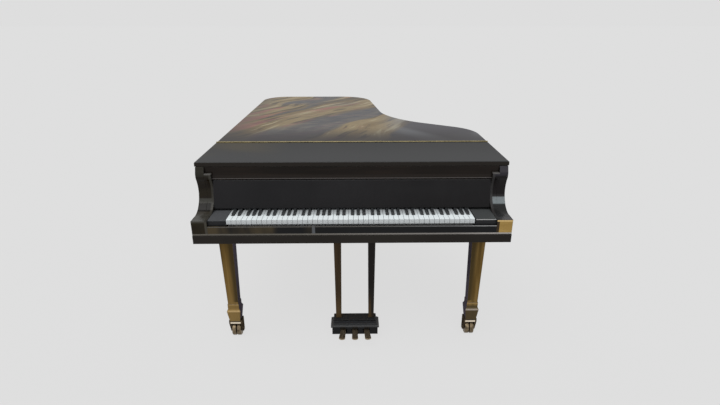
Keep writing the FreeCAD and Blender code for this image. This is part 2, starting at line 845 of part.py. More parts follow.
for note in strut_notes:
    strut_x = (string_x(note - 1) + string_x(note)) / 2
    landing = speaking_end(note) + hitch_distance + strut_landing
    plate_pieces.append(box(strut_x - strut_width / 2, strut_x + strut_width / 2, plate_front, landing,
                            strut_under, strut_under + strut_height))
    plate_pieces.append(box(strut_x - strut_width / 2, strut_x + strut_width / 2, plate_front, agraffe_y,
                            plate_under, strut_under + strut_height))
    plate_pieces.append(box(strut_x - strut_width / 2, strut_x + strut_width / 2,
                            landing - strut_landing / 2, landing, plate_under, strut_under + strut_height))
save("cast_iron_plate", joined(*plate_pieces))

# Pin block between the cheeks, under the tuning pins
save("pin_block", box(-cheek_half, cheek_half, pin_block_front, plate_front,
                      pin_block_under, pin_block_under + pin_block_thick))

# Strings with a tuning pin at the front and a hitch pin on the plate
tuning_pins = []
hitch_pins = []
plain_strings = []
wound_strings = []
for note in range(note_count):
    radius = string_radius(note)
    axis_z = string_seat + radius
    hitch_y = speaking_end(note) + hitch_distance
    for row, x in enumerate(string_places(note)):
        pin_y = tuning_row_front + (2 - row) * tuning_row_pitch
        start_y = pin_y + tuning_pin_radius + glue_gap
        end_y = hitch_y - hitch_pin_radius - glue_gap
        string = rod_y(x, start_y, end_y, axis_z, radius)
        if note < single_notes + double_notes:
            wound_strings.append(string)
        else:
            plain_strings.append(string)
        tuning_pins.append(rod_z(x, pin_y, pin_block_under + pin_block_thick - tuning_pin_sunk,
                                 tuning_pin_top, tuning_pin_radius))
        hitch_pins.append(rod_z(x, hitch_y, plate_top - hitch_pin_depth, axis_z + hitch_pin_radius,
                                hitch_pin_radius))
save("tuning_pins", *tuning_pins)
save("hitch_pins", *hitch_pins)
save("plain_strings", *plain_strings)
save("wound_strings", *wound_strings)

# Key frame that slides on the key bed: three rails and the ribs between them
frame_low = rim_bottom + running_gap
rail_seat = key_body_bottom - running_gap
balance_front = balance_y - balance_rail_depth / 2
balance_back = balance_y + balance_rail_depth / 2
back_rail_end = back_rail_start + back_rail_depth
frame_pieces = [
    box(frame_left, frame_right, front_rail_start, front_rail_start + front_rail_depth,
        frame_low, front_rail_top),
    box(frame_left, frame_right, balance_front, balance_back, frame_low, balance_rail_top),
    rod_x(frame_left, frame_right, balance_y, rail_seat - balance_bead_radius, balance_bead_radius),
    box(-action_half, action_half, back_rail_start, back_rail_end, frame_low, back_rail_top),
    box(frame_left, frame_right, back_rail_start, back_rail_end, back_rail_top, rail_seat),
]
frame_rib_pitch = (frame_right - frame_left - 2 * frame_rib_inset) / (frame_rib_count - 1)
for index in range(frame_rib_count):
    place = frame_left + frame_rib_inset + index * frame_rib_pitch
    half = min(frame_rib_width / 2, place - frame_left, frame_right - place)
    frame_pieces.append(box(place - half, place + half, front_rail_start, back_rail_end,
                            frame_low, frame_low + frame_rib_thick))
save("key_frame", joined(*frame_pieces))


def sharp_x(white):
    """Middle of the sharp after a white key, or None where there is none."""
    degree = white % 7
    if white < 0 or degree not in sharp_offsets:
        return None
    return keyboard_left + (white + 1 + sharp_offsets[degree]) * white_pitch


# White keys: a full-width front, and a tail that leaves room for the sharps
white_keys = []
for white in range(white_count):
    left = keyboard_left + white * white_pitch + key_slit / 2
    right = left + white_pitch - key_slit
    tail_left = left
    tail_right = right
    if sharp_x(white - 1) is not None:
        tail_left = sharp_x(white - 1) + sharp_width / 2 + tail_slit
    if sharp_x(white) is not None:
        tail_right = sharp_x(white) - sharp_width / 2 - tail_slit
    notch = sharp_front - tail_slit
    outline = [(left, key_front), (right, key_front)]
    if tail_right < right:
        outline += [(right, notch), (tail_right, notch)]
    outline += [(tail_right, key_end), (tail_left, key_end)]
    if tail_left > left:
        outline += [(tail_left, notch), (left, notch)]
    white_keys.append(plan_prism(outline, key_body_bottom, key_top))
save("white_keys", *white_keys)

# Black keys: a plain body with a tapered sharp on it
black_keys = []
for white in range(white_count):
    middle = sharp_x(white)
    if middle is None:
        continue
    body_top = key_top - sharp_body_drop
    body = box(middle - sharp_width / 2, middle + sharp_width / 2, sharp_front, key_end,
               key_body_bottom, body_top)
    sharp_back = sharp_front + sharp_length
    rings = []
    for width, front, height in ((sharp_width, sharp_front, body_top),
                                 (sharp_top_width, sharp_front + sharp_front_slope, key_top + sharp_rise)):
        corners = [
            Vec(middle - width / 2, front, height),
            Vec(middle + width / 2, front, height),
            Vec(middle + width / 2, sharp_back, height),
            Vec(middle - width / 2, sharp_back, height),
        ]
        rings.append(Part.makePolygon(corners + corners[:1]))
    black_keys.append(joined(body, Part.makeLoft(rings, True, True)))
save("black_keys", *black_keys)


def lever(note):
    """Lever over a key's end: butt, heel on the key, and an arm to the jack under the hammer."""
    key_x = note_x(note) + keyboard_offset
    jack_x = string_x(note)
    half = lever_width / 2
    jack_front = lever_pivot_y - lever_reach
    jack_back = jack_front + jack_depth
    heel_front = lever_heel_y - lever_heel_width / 2
    arm_low = lever_pivot_z - lever_thick
    arm = plan_prism([
        (key_x - half, lever_pivot_y),
        (key_x - half, heel_front),
        (jack_x - half, jack_back),
        (jack_x - half, jack_front),
        (jack_x + half, jack_front),
        (jack_x + half, jack_back),
        (key_x + half, heel_front),
        (key_x + half, lever_pivot_y),
    ], arm_low, lever_pivot_z)
    heel = box(key_x - half, key_x + half, heel_front, heel_front + lever_heel_width,
               key_top + running_gap, arm_low)
    jack = box(jack_x - half, jack_x + half, jack_front, jack_back, lever_pivot_z, jack_top)
    butt = rod_x(key_x - half, key_x + half, lever_pivot_y, lever_pivot_z, butt_radius)
    return joined(arm, heel, jack, butt)


def hammer(x):
    """Hammer drawn at the string and turned down to rest: butt, shank and felt head."""
    shank = box(x - hammer_shank / 2, x + hammer_shank / 2, hammer_pivot_y, hammer_pivot_y + hammer_reach,
                hammer_pivot_z - hammer_shank / 2, hammer_pivot_z + hammer_shank / 2)
    head_y = hammer_pivot_y + hammer_reach
    low = hammer_pivot_z - hammer_head_drop
    high = hammer_pivot_z + hammer_head_rise
    shoulder = (low + high) / 2
    outline = [
        (head_y - hammer_head_depth / 4, low),
        (head_y + hammer_head_depth / 4, low),
        (head_y + hammer_head_depth / 2, shoulder),
        (head_y + hammer_head_tip / 2, high),
        (head_y - hammer_head_tip / 2, high),
        (head_y - hammer_head_depth / 2, shoulder),
    ]
    head = side_prism(outline, x - hammer_head_width / 2, x + hammer_head_width / 2)
    butt = rod_x(x - hammer_shank / 2, x + hammer_shank / 2, hammer_pivot_y, hammer_pivot_z, butt_radius)
    whole = joined(shank, head, butt)
    whole.rotate(Vec(0, hammer_pivot_y, hammer_pivot_z), X_AXIS, -hammer_droop)
    return whole


for colour, degrees in (("white", white_degrees), ("black", black_degrees)):
    notes = [12 * octave + degree for octave in range(octaves) for degree in degrees]
    save(colour + "_levers", *[lever(note) for note in notes])
    save(colour + "_hammers", *[hammer(string_x(note)) for note in notes])

# Action rails: one for the hammers, one for the levers, on a bracket at each end
hammer_rail_front = hammer_rail_back - rail_depth
lever_rail_back = lever_rail_front + rail_depth
hammer_rail_low = pin_block_under - bumper_height - rail_height
rail_pieces = [
    box(-action_half, action_half, hammer_rail_front, hammer_rail_back,
        hammer_rail_low, hammer_rail_low + rail_height),
    box(-action_half, action_half, lever_rail_front, lever_rail_back,
        lever_pivot_z - rail_height / 2, lever_pivot_z + rail_height / 2),
]
bracket_inner = action_half - action_bracket
for near, far in ((-action_half, -bracket_inner), (bracket_inner, action_half)):
    rail_pieces.append(box(near, far, back_rail_start, lever_rail_back,
                           back_rail_top, hammer_rail_low + rail_height))
    rail_pieces.append(box(near, far, hammer_rail_front, lever_rail_back,
                           hammer_rail_low, hammer_rail_low + rail_height))
save("action_rails", joined(*rail_pieces))

# Dampers on the strings, each on a wire from the tray that lifts them
tray_z = damper_tray_z + damper_tray_thick
dampers = []
for note in range(damped_notes):
    x = string_x(note)
    head_low = string_seat + 2 * string_radius(note) + damper_gap
    head = box(x - damper_head_left, x + damper_head_right, damper_front, damper_front + damper_length,
               head_low, head_low + damper_height)
    wire = rod_z(x + damper_wire_offset, damper_wire_y, tray_z, head_low + damper_height / 2,
                 damper_wire_radius)
    dampers.append(joined(head, wire))
save("dampers", *dampers)
tray_near = damper_wire_y - damper_tray_half_depth
tray_far = damper_wire_y + damper_tray_half_depth
save("damper_tray", box(string_x(0) - note_pitch, string_x(damped_notes), tray_near, tray_far,
                        damper_tray_z, tray_z))

# Lid prop with a pin at its foot, the bracket that carries it, and the lid's cup
prop_axis_z = plate_top + prop_axis_rise
left_of_prop = -outward(prop_heading)
tilt = math.radians(prop_tilt)
prop_axis = left_of_prop * math.cos(tilt) - Z_AXIS * math.sin(tilt)
prop_foot = Vec(prop_pivot_x, prop_pivot_y, prop_axis_z)
stick = joined(
    box(-prop_width / 2, prop_width / 2, -prop_length, 0, -prop_height / 2, prop_height / 2),
    rod_x(-prop_width / 2, prop_width / 2, 0, 0, prop_height / 2))
stick.rotate(Vec(0, 0, 0), Y_AXIS, -prop_tilt)
stick.rotate(Vec(0, 0, 0), Z_AXIS, prop_heading)
stick.translate(prop_foot)
reach = prop_width / 2 + running_gap + prop_cheek
bore_length = 4 * reach
prop_bore = Part.makeCylinder(prop_pin_radius + pin_clearance, bore_length,
                              prop_foot - prop_axis * (bore_length / 2), prop_axis)
save("lid_prop", carved(stick, prop_bore))
bracket_pieces = []
for side in (-1, 1):
    near = side * (prop_width / 2 + running_gap)
    far = side * reach
    ear = box(min(near, far), max(near, far), -prop_height / 2, prop_height / 2,
              -prop_axis_rise - prop_height, prop_height / 2)
    ear.rotate(Vec(0, 0, 0), Y_AXIS, -prop_tilt)
    bracket_pieces.append(ear)
pin = rod_x(-reach, reach, 0, 0, prop_pin_radius)
pin.rotate(Vec(0, 0, 0), Y_AXIS, -prop_tilt)
bracket = joined(*bracket_pieces, pin)
bracket.rotate(Vec(0, 0, 0), Z_AXIS, prop_heading)
bracket.translate(prop_foot)
below_plate = box(prop_pivot_x - prop_length, prop_pivot_x + prop_length, prop_pivot_y - prop_length,
                  prop_pivot_y + prop_length, 0, plate_top)
save("prop_bracket", carved(bracket, below_plate))
save("prop_cup", rod_z(prop_cup_x, prop_cup_y, lid_bottom - prop_cup_thick, lid_bottom, prop_cup_radius))

# Legs: a tapered square shaft on a spade foot, bored for the caster's stem
stem_bore_top = foot_base_height + caster_stem_length + running_gap


def leg(x, y, top):
    shaft = tapered_post(x, y, ((leg_ankle_height, leg_ankle_width), (top, leg_top_width)))
    foot = tapered_post(x, y, ((foot_base_height, foot_base_width), (foot_swell_height, foot_swell_width),
                               (foot_shoulder_height, foot_collar_width),
                               (leg_ankle_height, foot_collar_width)))
    bore = rod_z(x, y, 0, stem_bore_top, caster_stem_radius + pin_clearance)
    return carved(joined(shaft, foot), bore)


def caster_fork(x, y):
    """Fork that swivels under a leg: stem, top plate and two cheeks for the axle."""
    axle_y = y + caster_trail
    half = caster_fork_width / 2
    plate_low = fork_top - caster_fork_plate
    pieces = [
        rod_z(x, y, plate_low, foot_base_height + caster_stem_length, caster_stem_radius),
        box(x - half, x + half, y - caster_fork_half_depth, axle_y + caster_fork_back,
            plate_low, fork_top),
    ]
    for near, far in ((x - half, x - half + caster_fork_cheek), (x + half - caster_fork_cheek, x + half)):
        cheek = [
            (y - caster_fork_half_depth, plate_low),
            (axle_y - caster_fork_half_depth / 2, caster_axle_z - caster_fork_drop / 2),
            (axle_y + caster_fork_half_depth / 2, caster_axle_z - caster_fork_drop / 2),
            (axle_y + caster_fork_back, plate_low),
        ]
        pieces.append(side_prism(cheek, near, far))
    bore = rod_x(x - caster_fork_width, x + caster_fork_width, axle_y, caster_axle_z,
                 caster_axle_radius + pin_clearance)
    return carved(joined(*pieces), bore)


def caster_wheel(x, y):
    """Twin wheel on its axle: two rounded treads with a groove between them."""
    axle_y = y + caster_trail
    outer = caster_wheel_width + caster_wheel_split / 2
    pieces = [rod_x(x - caster_fork_width / 2, x + caster_fork_width / 2, axle_y, caster_axle_z,
                    caster_axle_radius),
              rod_x(x - caster_wheel_split, x + caster_wheel_split, axle_y, caster_axle_z,
                    caster_wheel_hub)]
    for near, far in ((x - outer, x - caster_wheel_split / 2), (x + caster_wheel_split / 2, x + outer)):
        tread = rod_x(near, far, axle_y, caster_axle_z, caster_wheel_radius)
        rims = [edge for edge in tread.Edges if edge.Closed]
        pieces.append(tread.makeFillet(caster_wheel_round, rims))
    return joined(*pieces)


leg_places = (
    ("front_left", -leg_x, leg_y, key_bed_bottom),
    ("front_right", leg_x, leg_y, key_bed_bottom),
    ("rear", rear_leg_x, rear_leg_y, rim_bottom),
)
leg_plates = []
for name, x, y, top in leg_places:
    half = leg_plate_width / 2
    leg_plates.append(box(x - half, x + half, y - half, y + half, top - leg_plate_thick, top))
    save("leg_" + name, leg(x, y, top - leg_plate_thick))
    save("caster_fork_" + name, caster_fork(x, y))
    save("caster_wheel_" + name, caster_wheel(x, y))
save("leg_plates", *leg_plates)

# Pedal box: a housing with a stepped top and the shaft the pedals turn on, and the board
# that closes it below
board_top = pedal_box_bottom + base_board_thick
lower_top = pedal_box_bottom + pedal_box_height
moulding_top = lower_top + moulding_height
step_top = moulding_top + step_height
box_back = pedal_box_front + pedal_box_depth


def box_layer(low, high, sides=0, front=0, back=0):
    """Layer of the box, proud of its walls by these amounts, or set in where they are negative."""
    return box(lyre_x - pedal_box_half - sides, lyre_x + pedal_box_half + sides,
               pedal_box_front - front, box_back + back, low, high)


housing = joined(
    box_layer(board_top, lower_top),
    box_layer(lower_top, moulding_top, moulding_proud, moulding_proud, -moulding_stop),
    box_layer(lower_top, step_top, -step_inset),
    box_layer(step_top, pedal_box_top, -cap_inset, -cap_setback, -cap_inset))
cavity = box(lyre_x - pedal_box_half + box_wall, lyre_x + pedal_box_half - box_wall,
             pedal_box_front + box_wall, box_back - box_wall,
             pedal_box_bottom - box_wall, pedal_box_bottom + cavity_height)
pedal_places = (
    ("left", lyre_x - pedal_pitch, -1),
    ("middle", lyre_x, 0),
    ("right", lyre_x + pedal_pitch, 1),
)
slots = []
for name, x, side in pedal_places:
    slots.append(box(x - pedal_slot_half, x + pedal_slot_half, pedal_box_front - box_wall,
                     pedal_box_front + 2 * box_wall, pedal_box_bottom - box_wall,
                     pedal_box_bottom + pedal_slot_height))
axle = rod_x(lyre_x - pedal_box_half + box_wall / 2, lyre_x + pedal_box_half - box_wall / 2,
             pedal_pivot_y, pedal_pivot_z, pedal_axle_radius)
pedal_box = joined(carved(housing, cavity, *slots, *rod_bores), axle)
save("pedal_box", pedal_box, box_layer(pedal_box_bottom, board_top))


def pedal(x, side):
    """Pedal that rocks on the shaft: sloping toe with a round end, hub and tail."""
    low = pedal_pivot_z - pedal_thick / 2
    toe_half = pedal_toe_width / 2
    neck_half = pedal_neck_width / 2
    tip_y = pedal_pivot_y - pedal_reach
    toe_y = tip_y + pedal_toe_bow
    start_y = tip_y + pedal_toe_start
    edges = [
        line(Vec(x - toe_half, toe_y, low), Vec(x - neck_half, start_y, low)),
        line(Vec(x - neck_half, start_y, low), Vec(x - neck_half, pedal_pivot_y, low)),
        line(Vec(x - neck_half, pedal_pivot_y, low), Vec(x + neck_half, pedal_pivot_y, low)),
        line(Vec(x + neck_half, pedal_pivot_y, low), Vec(x + neck_half, start_y, low)),
        line(Vec(x + neck_half, start_y, low), Vec(x + toe_half, toe_y, low)),
        arc(Vec(x + toe_half, toe_y, low), Vec(x, tip_y, low), Vec(x - toe_half, toe_y, low)),
    ]
    toe = Part.Face(Part.Wire(edges)).extrude(Vec(0, 0, pedal_thick))
    pivot = Vec(x, pedal_pivot_y, pedal_pivot_z)
    toe.rotate(pivot, X_AXIS, pedal_slope)
    toe.rotate(pivot, Z_AXIS, side * pedal_splay)
    hub = rod_x(x - pedal_hub_width / 2, x + pedal_hub_width / 2, pedal_pivot_y, pedal_pivot_z,
                pedal_hub_radius)
    rod_reach = lyre_spread / 2 - pedal_pitch + pedal_tail_past
    tail_left = rod_reach if side < 0 else neck_half
    tail_right = rod_reach if side > 0 else neck_half
    tail = box(x - tail_left, x + tail_right, pedal_pivot_y, pedal_pivot_y + pedal_tail_reach,
               low, low + pedal_thick)
    bore = rod_x(x - lyre_spread, x + lyre_spread, pedal_pivot_y, pedal_pivot_z,
                 pedal_axle_radius + pedal_axle_clearance)
    return carved(joined(toe, hub, tail), bore)


for name, x, side in pedal_places:
    save("pedal_" + name, pedal(x, side))

# Lyre posts, hollow for the rods, and the rods that the outer pedals lift
posts = []
for post_x in post_places:
    post = tapered_post(post_x, post_y,
                        ((pedal_box_top, post_foot_width), (key_bed_bottom, post_top_width)))
    posts.append(carved(post, *rod_bores))
save("lyre_posts", *posts)
rod_low = pedal_pivot_z + pedal_thick / 2 + rod_seat_gap
for name, post_x in zip(("left", "right"), post_places):
    save("pedal_rod_" + name, rod_z(post_x, post_y, rod_low, key_bed_bottom + rod_sunk, rod_radius))

# Brace rods from the back of the pedal box up to the key bed, behind the posts
brace_rods = []
for post_x in post_places:
    foot = Vec(post_x, box_back, brace_rod_foot_z)
    head = Vec(post_x, brace_rod_top_y, key_bed_bottom)
    run = head - foot
    spare = run * (2 * brace_rod_radius / run.Length)
    whole = Part.makeCylinder(brace_rod_radius, (run + spare * 2).Length, foot - spare, run)
    brace_rods.append(max(whole.cut([pedal_box, key_bed]).Solids, key=lambda solid: solid.Volume))
save("lyre_braces", *brace_rods)
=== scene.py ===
import json
import math

import bmesh
import bpy
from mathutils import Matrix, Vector

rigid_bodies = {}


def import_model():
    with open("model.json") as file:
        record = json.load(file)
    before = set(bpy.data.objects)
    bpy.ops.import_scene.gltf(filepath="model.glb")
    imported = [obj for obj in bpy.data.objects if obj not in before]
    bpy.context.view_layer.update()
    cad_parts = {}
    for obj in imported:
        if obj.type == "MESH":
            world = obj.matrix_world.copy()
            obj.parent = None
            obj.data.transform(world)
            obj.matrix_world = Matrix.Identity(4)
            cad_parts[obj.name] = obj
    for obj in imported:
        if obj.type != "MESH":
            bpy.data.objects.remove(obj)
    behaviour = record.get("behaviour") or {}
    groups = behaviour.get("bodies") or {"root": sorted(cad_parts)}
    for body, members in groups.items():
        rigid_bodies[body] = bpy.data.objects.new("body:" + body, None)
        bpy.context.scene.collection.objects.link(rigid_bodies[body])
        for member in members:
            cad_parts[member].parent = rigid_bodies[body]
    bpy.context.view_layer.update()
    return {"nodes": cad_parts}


for leftover in list(bpy.data.objects):
    bpy.data.objects.remove(leftover)
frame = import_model()
nodes = frame["nodes"]


# Key bed: the thick shelf that carries the keyboard and ties the two arms together.
# It is a wooden board under black polish, screwed to the rim from below, and its edges
# are painted a little paler: rubbed by sleeves and dust cloths, and a painted edge highlight.
class Socket:
    """One output of a shader node. Arithmetic on it adds Math nodes beside it."""

    def __init__(self, bench, output):
        self.bench = bench
        self.output = output

    def worked(self, operation, first, second):
        return self.bench.add("ShaderNodeMath", {"operation": operation}, {0: first, 1: second})

    def __add__(self, other):
        return self.worked("ADD", self, other)

    def __radd__(self, other):
        return self.worked("ADD", other, self)

    def __sub__(self, other):
        return self.worked("SUBTRACT", self, other)

    def __rsub__(self, other):
        return self.worked("SUBTRACT", other, self)

    def __mul__(self, other):
        return self.worked("MULTIPLY", self, other)

    def __rmul__(self, other):
        return self.worked("MULTIPLY", other, self)

    def __abs__(self):
        return self.worked("ABSOLUTE", self, 0.0)

    def rise(self, low, high):
        """0 at low, 1 at high and a smooth step between, falling where low is the larger."""
        return self.bench.add(
            "ShaderNodeMapRange",
            {"interpolation_type": "SMOOTHSTEP"},
            {"Value": self, "From Min": low, "From Max": high},
        )

    def within(self, low, high, soft):
        """1 from low to high and 0 beyond, with a smooth step of that half width at each end."""
        return self.rise(low - soft, low + soft) * self.rise(high + soft, high - soft)


class Bench:
    """A node tree, and the one method that puts a node on it."""

    def __init__(self, tree):
        self.tree = tree

    def set(self, socket, value):
        """Links the socket to another node's output, or gives it a constant."""
        if isinstance(value, Socket):
            self.tree.links.new(value.output, socket)
        elif socket.type == "RGBA":
            socket.default_value = (*value, 1.0)
        else:
            socket.default_value = value

    def add(self, kind, settings, inputs, output=0):
        """Puts a node on the tree and gives back one of its outputs, if it has any."""
        node = self.tree.nodes.new(kind)
        for key, value in settings.items():
            setattr(node, key, value)
        for key, value in inputs.items():
            self.set(node.inputs[key], value)
        return Socket(self, node.outputs[output]) if node.outputs else None


class Finish(Bench):
    """A material: its Principled surface, and the places and patterns that feed it."""

    def __init__(self, name, constants, edge_reach=0.0):
        self.material = bpy.data.materials.new(name)
        self.material.use_nodes = True
        super().__init__(self.material.node_tree)
        self.surface = self.tree.nodes["Principled BSDF"]
        for key, value in constants.items():
            self.feed(key, value)
        self.place = self.add("ShaderNodeTexCoord", {}, {}, "Object")
        self.x, self.y, self.z = self.parts(self.place)
        self.normal = self.add("ShaderNodeNewGeometry", {}, {}, "Normal")
        self.facing_x, self.facing_y, self.facing_z = self.parts(self.normal)
        if edge_reach:
            rounded = self.add("ShaderNodeBevel", {"samples": 6}, {"Radius": edge_reach})
            agree = self.add(
                "ShaderNodeVectorMath",
                {"operation": "DOT_PRODUCT"},
                {0: rounded, 1: self.normal},
                "Value",
            )
            self.edge = (1 - agree).rise(0.01, 0.22)
            self.normal = rounded

    def parts(self, vector):
        split = self.add("ShaderNodeSeparateXYZ", {}, {0: vector})
        return [Socket(self, output) for output in split.output.node.outputs]

    def to_room(self, low, high):
        """1 on faces turned to the room in front of the keys, 0 on the others."""
        return (self.facing_y * -1.0).rise(low, high)

    def feed(self, name, value):
        self.set(self.surface.inputs[name], value)

    def mix(self, share, first, second):
        return self.add(
            "ShaderNodeMix",
            {"data_type": "RGBA", "clamp_factor": True},
            {0: share, 6: first, 7: second},
            2,
        )

    def noise(self, scale, detail=2.0, stretch=(1.0, 1.0, 1.0), turn=0.0, start=None):
        spot = self.add(
            "ShaderNodeMapping",
            {},
            {"Vector": start or self.place, "Scale": stretch, "Rotation": (0.0, 0.0, turn)},
        )
        return self.add(
            "ShaderNodeTexNoise",
            {},
            {"Vector": spot, "Scale": scale, "Detail": detail},
        )

    def relief(self, height, depth):
        """Feeds the normal with that height times a depth in metres."""
        bumped = self.add(
            "ShaderNodeBump",
            {},
            {"Height": height, "Distance": depth, "Normal": self.normal},
        )
        self.feed("Normal", bumped)

    def dress(self, *names):
        for name in names:
            nodes[name].data.materials.clear()
            nodes[name].data.materials.append(self.material)


class BlackPolish(Finish):
    """Black piano polish: cloudy depth, hand smears, settled dust, and edges painted paler for
    rubbing and as a painted highlight.
    """

    def __init__(self, name, deep, cloudy, edge_reach=0.003, shine=0.15):
        super().__init__(name, {"Specular IOR Level": shine}, edge_reach)
        cloud = self.noise(2.2, 3.0)
        self.smear = self.noise(21.0, 5.0, (1.0, 1.0, 0.5))
        speck = self.noise(900.0, 1.0)
        self.paint = self.mix(cloud.rise(0.36, 0.64), deep, cloudy)
        settled = self.facing_z.rise(0.6, 0.95) * speck.rise(0.62, 0.72)
        self.paint = self.mix(settled * 0.12, self.paint, (0.10, 0.10, 0.095))
        self.feed("Roughness", 0.13 + 0.12 * self.smear.rise(0.3, 0.75) + 0.05 * speck)
        self.relief(self.noise(240.0, 1.0), 0.000004)

    def rub_and_highlight_edges(self, colour):
        """Ends the paint with the edges in that colour: rubbed wear and a painted edge highlight.
        """
        worn_and_lit = self.edge * (0.45 + 0.55 * self.smear.rise(0.3, 0.7))
        self.feed("Base Color", self.mix(worn_and_lit, self.paint, colour))


polish = BlackPolish("black_polish_key_bed", (0.0105, 0.0082, 0.0065), (0.0145, 0.0120, 0.0095))
polish.rub_and_highlight_edges((0.026, 0.023, 0.019))
polish.dress("key_bed")


# Leg plates: three steel plates between the legs and the case, each with a cut thread
# for the leg's screw. They are cold rolled, with fine lines along the sheet.
steel = Finish("rolled_steel", {"Metallic": 1.0}, 0.0015)
rolled = steel.noise(300.0, 3.0, (0.04, 1.0, 1.0))
patch = steel.noise(16.0, 3.0)
oiled = steel.mix(patch.rise(0.35, 0.7), (0.30, 0.30, 0.31), (0.20, 0.19, 0.18))
steel.feed("Base Color", steel.mix(steel.edge * 0.5, oiled, (0.55, 0.55, 0.55)))
steel.feed("Roughness", 0.30 + 0.22 * rolled)
steel.relief(rolled, 0.00003)
steel.dress("leg_plates")


# Legs: three square legs that taper to a spade foot, sawn from hardwood. The faces to the
# room carry a painted reflection in worn bronze gold on their outer part, painted darker on the
# inner part, with a painted highlight at the collar and a bright painted highlight line round
# the swell of the foot; the sides are left in dark polish.
leg_x = 0.626
rear_leg_x = -0.300
collar_z = 0.208
swell_z = 0.172


def leg_finish(name, middle, outward, foot_shade):
    """Paints one leg's gold reflection: outward is the side of its middle painted gold, and the
    last argument how much darker its foot is painted, with a greyer highlight line.
    """
    gilt_reflection = BlackPolish(name, (0.055, 0.047, 0.060), (0.095, 0.083, 0.104), shine=0.0)
    # Faces turned to the room get the painted gold reflection, partly metallic; the sides keep the
    # dark polish.
    room_side = gilt_reflection.to_room(0.35, 0.75)
    outer = ((gilt_reflection.x - middle) * outward + gilt_reflection.z.rise(0.225, 0.205)).rise(-0.020, 0.004)
    brush = gilt_reflection.noise(34.0, 4.0, (1.0, 1.0, 0.06))
    wear = gilt_reflection.noise(9.0, 5.0, (1.0, 1.0, 0.35))
    leaf = gilt_reflection.mix(brush.rise(0.30, 0.70), (0.085, 0.051, 0.015), (0.222, 0.140, 0.046))
    # The painted reflection is lighter towards the foot, darker on the foot by the last argument,
    # and darker towards the top.
    leaf = gilt_reflection.mix(gilt_reflection.z.rise(0.30, 0.12) * 0.55, leaf, (0.270, 0.182, 0.070))
    leaf = gilt_reflection.mix(gilt_reflection.z.rise(0.205, 0.185) * foot_shade, leaf, (0.056, 0.045, 0.026))
    leaf = gilt_reflection.mix(gilt_reflection.z.rise(0.50, 0.62) * 0.55, leaf, (0.060, 0.040, 0.018))
    leaf = gilt_reflection.mix(wear.rise(0.60, 0.75) * 0.6, leaf, (0.050, 0.034, 0.016))
    # The inner part of each front face is painted dark, as shade in the reflection.
    leaf = gilt_reflection.mix(outer, (0.062, 0.043, 0.018), leaf)
    # Painted highlights: a paler band at the collar and a bright line round the swell of the foot.
    collar = abs(gilt_reflection.z - collar_z).rise(0.0070, 0.0020)
    leaf = gilt_reflection.mix(collar * 0.5, leaf, (0.38, 0.26, 0.11))
    swell = abs(gilt_reflection.z - swell_z).rise(0.0080, 0.0010)
    swell_highlight = Vector((0.50, 0.355, 0.170)).lerp((0.33, 0.30, 0.275), foot_shade)
    leaf = gilt_reflection.mix(swell * 0.8, leaf, swell_highlight)
    gilt_reflection.paint = gilt_reflection.mix(room_side, gilt_reflection.paint, leaf)
    gilt_reflection.feed("Metallic", 0.55 * room_side)
    gilt_reflection.feed("Roughness", 0.20 + 0.16 * room_side + 0.12 * brush)
    gilt_reflection.rub_and_highlight_edges((0.20, 0.145, 0.075))
    return gilt_reflection


leg_finish("gilt_leg_front_left", -leg_x, -1.0, 0.0).dress("leg_front_left")
leg_finish("gilt_leg_front_right", leg_x, 1.0, 0.85).dress("leg_front_right")
leg_finish("gilt_leg_rear", rear_leg_x, -1.0, 0.4).dress("leg_rear")


# Casters: swivel forks and twin wheels of cast bronze. The forks are lacquered dark, with a pale
# painted highlight along the shelf in front; the treads are bare and grimy.
shelf_low = 0.08675
shelf_high = 0.09675
fork = Finish("caster_bronze_fork", {"Specular IOR Level": 0.0}, 0.002)
cast = fork.noise(420.0, 3.0)
tarnish = fork.noise(45.0, 4.0)
fork_tone = fork.mix(tarnish.rise(0.34, 0.66), (0.080, 0.060, 0.036), (0.034, 0.026, 0.018))
# A pale painted highlight band along the front of the fork's shelf, made bright metal.
shelf_highlight = fork.z.within(shelf_low, shelf_high, 0.00075)
shelf_highlight = shelf_highlight * abs(abs(fork.x) - leg_x).rise(0.028, 0.025)
fork_tone = fork.mix(shelf_highlight, fork_tone, (0.86, 0.76, 0.60))
fork.feed("Base Color", fork.mix(fork.edge * 0.3, fork_tone, (0.20, 0.16, 0.105)))
fork.feed("Metallic", shelf_highlight)
fork.feed("Roughness", 0.28 + 0.25 * cast)
fork.relief(cast, 0.00006)
fork.dress("caster_fork_front_left", "caster_fork_front_right", "caster_fork_rear")

wheel = Finish("caster_bronze_wheel", {"Metallic": 1.0}, 0.0015)
turned = wheel.noise(900.0, 2.0, (1.0, 0.03, 0.03))
grime = wheel.noise(60.0, 4.0)
wheel_tone = wheel.mix(grime.rise(0.36, 0.68), (0.225, 0.175, 0.110), (0.105, 0.080, 0.050))
wheel.feed("Base Color", wheel.mix(wheel.edge * 0.5, wheel_tone, (0.38, 0.29, 0.16)))
wheel.feed("Roughness", 0.30 + 0.25 * turned)
wheel.relief(turned, 0.00004)
wheel.dress("caster_wheel_front_left", "caster_wheel_front_right", "caster_wheel_rear")


# Inner frame: belly rail, inner rim and braces, sawn and planed from beech and glued up.
# The wood is only oiled, so grain, flecks and a few darker boards show.
def scaled(colour, times):
    return [min(1.0, times * part) for part in colour]


